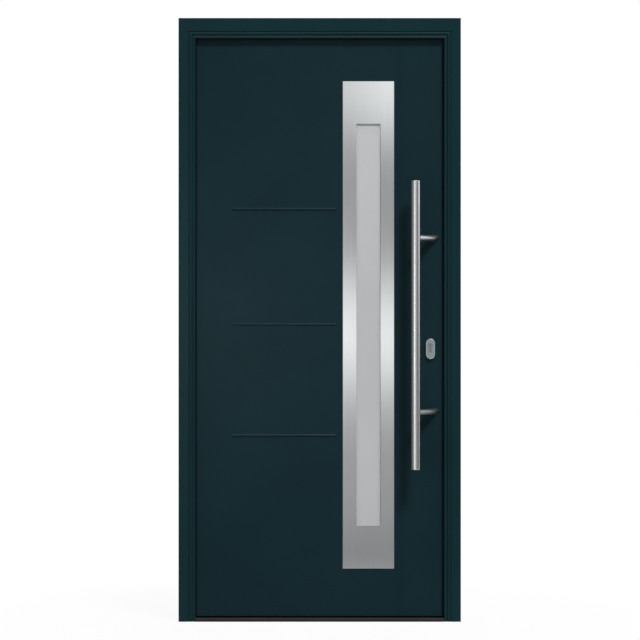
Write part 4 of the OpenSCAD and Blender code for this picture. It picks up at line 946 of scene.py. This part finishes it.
steel_stops = [(-0.12, 0.18), (0.215, 0.23), (0.354, 0.44), (0.615, 0.48), (0.746, 0.64), (0.867, 1.12),
               (0.963, 1.46), (1.05, 1.40), (1.154, 1.02), (1.285, 0.51), (1.485, 0.44), (1.598, 0.46),
               (1.685, 0.66), (1.789, 1.10), (1.963, 1.36), (2.05, 0.1), (2.7, 0.1)]
steel_left = limb(steel_stops, BAND_SHIFT, 0.88)
steel_right = limb(steel_stops, -BAND_SHIFT, 1.15)
paint_stops = [(-0.2, 0.2), (0.37, 0.25), (0.64, 0.7), (0.87, 1.7), (1.05, 2.2), (1.23, 1.6), (1.46, 0.6),
               (1.73, 0.15), (2.7, 0.1)]
side_stops = [(-0.1, 0.24), (0.6, 0.32), (1.2, 0.85), (1.9, 1.9), (2.9, 1.9)]
wall_stops = [(STUDIO_LOW, 0.22), (STUDIO_HIGH, 0.3)]
back_stops = [(-0.3, 0.3), (0.6, 0.45), (1.0, 0.8), (1.4, 0.5), (2.0, 0.75), (3.0, 0.4)]
print("steel bands:", len(steel_stops), "stops")

# %% [markdown]
# Two cards in front are mirrored in the surround, and three in the paint. Three narrow ones by the pull
# bar grade it from its dark left edge towards its light middle. A bright strip and the walls stand at
# the sides, and one card behind the door gives the inside furniture something to reflect in the other
# views. Each could be placed in a line of its own, but as a table they are easy to compare.

# %% Set up the cards
# Each card: name, middle, width, height, turn about Z in degrees, brightness by height.
cards = [
    ("front_card_steel_left", (0.0875, -1.2, 1.35), 0.215, 3.3, 0, mirrored(steel_left, 1.2)),
    ("front_card_steel_right", (0.3475, -1.2, 1.35), 0.305, 3.3, 0, mirrored(steel_right, 1.2)),
    ("front_card_left", (-0.42, -0.8, 2.35), 0.56, 5.3, 0, mirrored(paint_stops, 0.8)),
    ("front_card_far", (-0.055, -2.3, 2.35), 0.24, 5.3, 0, mirrored(paint_stops, 2.3)),
    ("front_card_right", (0.75, -0.8, 2.35), 0.6, 5.3, 0, wall_stops),
    ("bar_card", (0.318, -0.2, 1.3), 0.068, 3.2, 0, even(0.8)),
    ("bar_shade", (0.2846, -0.1214, 1.3), 0.038, 3.2, -56.4, even(0.42)),
    ("bar_side", (0.2795, -0.0588, 1.3), 0.094, 3.2, 83.3, even(0.1)),
    ("left_strip", (-0.74, -2.01, 1.2), 0.44, 3.4, 29, even(3.2)),
    ("left_wall", (-1.5, -1.75, 1.3), 3.5, 3.6, 90, wall_stops),
    ("right_wall", (2.0, -2.2, 1.3), 3.6, 3.6, 90, wall_stops),
    ("right_side", (1.6, -0.125, 1.4), 0.65, 3.0, 90, side_stops),
    ("back_card", (0, 3.0, 1.35), 5.0, 3.3, 0, back_stops),
]
for card in cards:
    reflection_card(*card)
print("cards:", [card[0] for card in cards])

# %% [markdown]
# One strong soft box stands high on the right, as the shadow of the bar in the photograph shows. A sun
# lamp could do the same, but an area lamp is what a studio has: its size sets how soft the edge of a
# shadow is. A weak box on the left lifts the shadows, and one behind the door lights the inside for
# the other views. These two are hidden from reflections, because the cards already shape those.

# %% Lights
def soft_box(name, place, target, width, height, watts):
    """An area lamp that faces its target."""
    lamp = bpy.data.lights.new(name, "AREA")
    lamp.shape = "RECTANGLE"
    lamp.size = width
    lamp.size_y = height
    lamp.energy = watts
    box = bpy.data.objects.new(name, lamp)
    box.location = place
    box.rotation_euler = (Vector(target) - Vector(place)).to_track_quat("-Z", "Y").to_euler()
    box.visible_camera = False
    scene.collection.objects.link(box)
    return box


DOOR_MIDDLE = (0, 0, EYE_Z)
soft_box("key_box", (5.74, -9.93, 17.43), DOOR_MIDDLE, width=4.0, height=4.0, watts=4400)
fill_box = soft_box("fill_box", (-3.2, -5.0, 1.6), DOOR_MIDDLE, width=2.0, height=2.6, watts=20)
back_box = soft_box("back_box", (0.5, 4.0, 3.2), DOOR_MIDDLE, width=2.5, height=2.5, watts=120)
for box in (fill_box, back_box):
    box.visible_glossy = False

# %% [markdown]
# The photograph is taken square on, at half the door's height: its upright lines are parallel. An
# orthographic camera would keep them parallel too, but it would hide the inner sides of the frame. So
# a level camera stands eight metres away. Its lens follows from that distance and the width of the
# view, so the frame's edges fall where the photograph has them.

# %% Camera
VIEW_W = 2.226
SENSOR_W = 36
FRONT_Y = -0.04
CAMERA_X = 0.0011
CAMERA_Z = 1.0497
lens = bpy.data.cameras.new("front_view")
lens.sensor_width = SENSOR_W
lens.lens = SENSOR_W * EYE_AWAY / VIEW_W
camera = bpy.data.objects.new("front_view", lens)
camera.location = (CAMERA_X, FRONT_Y - EYE_AWAY, CAMERA_Z)
camera.rotation_euler = (math.radians(90), 0, 0)
scene.collection.objects.link(camera)
scene.camera = camera
print("lens", round(lens.lens, 1), "mm")
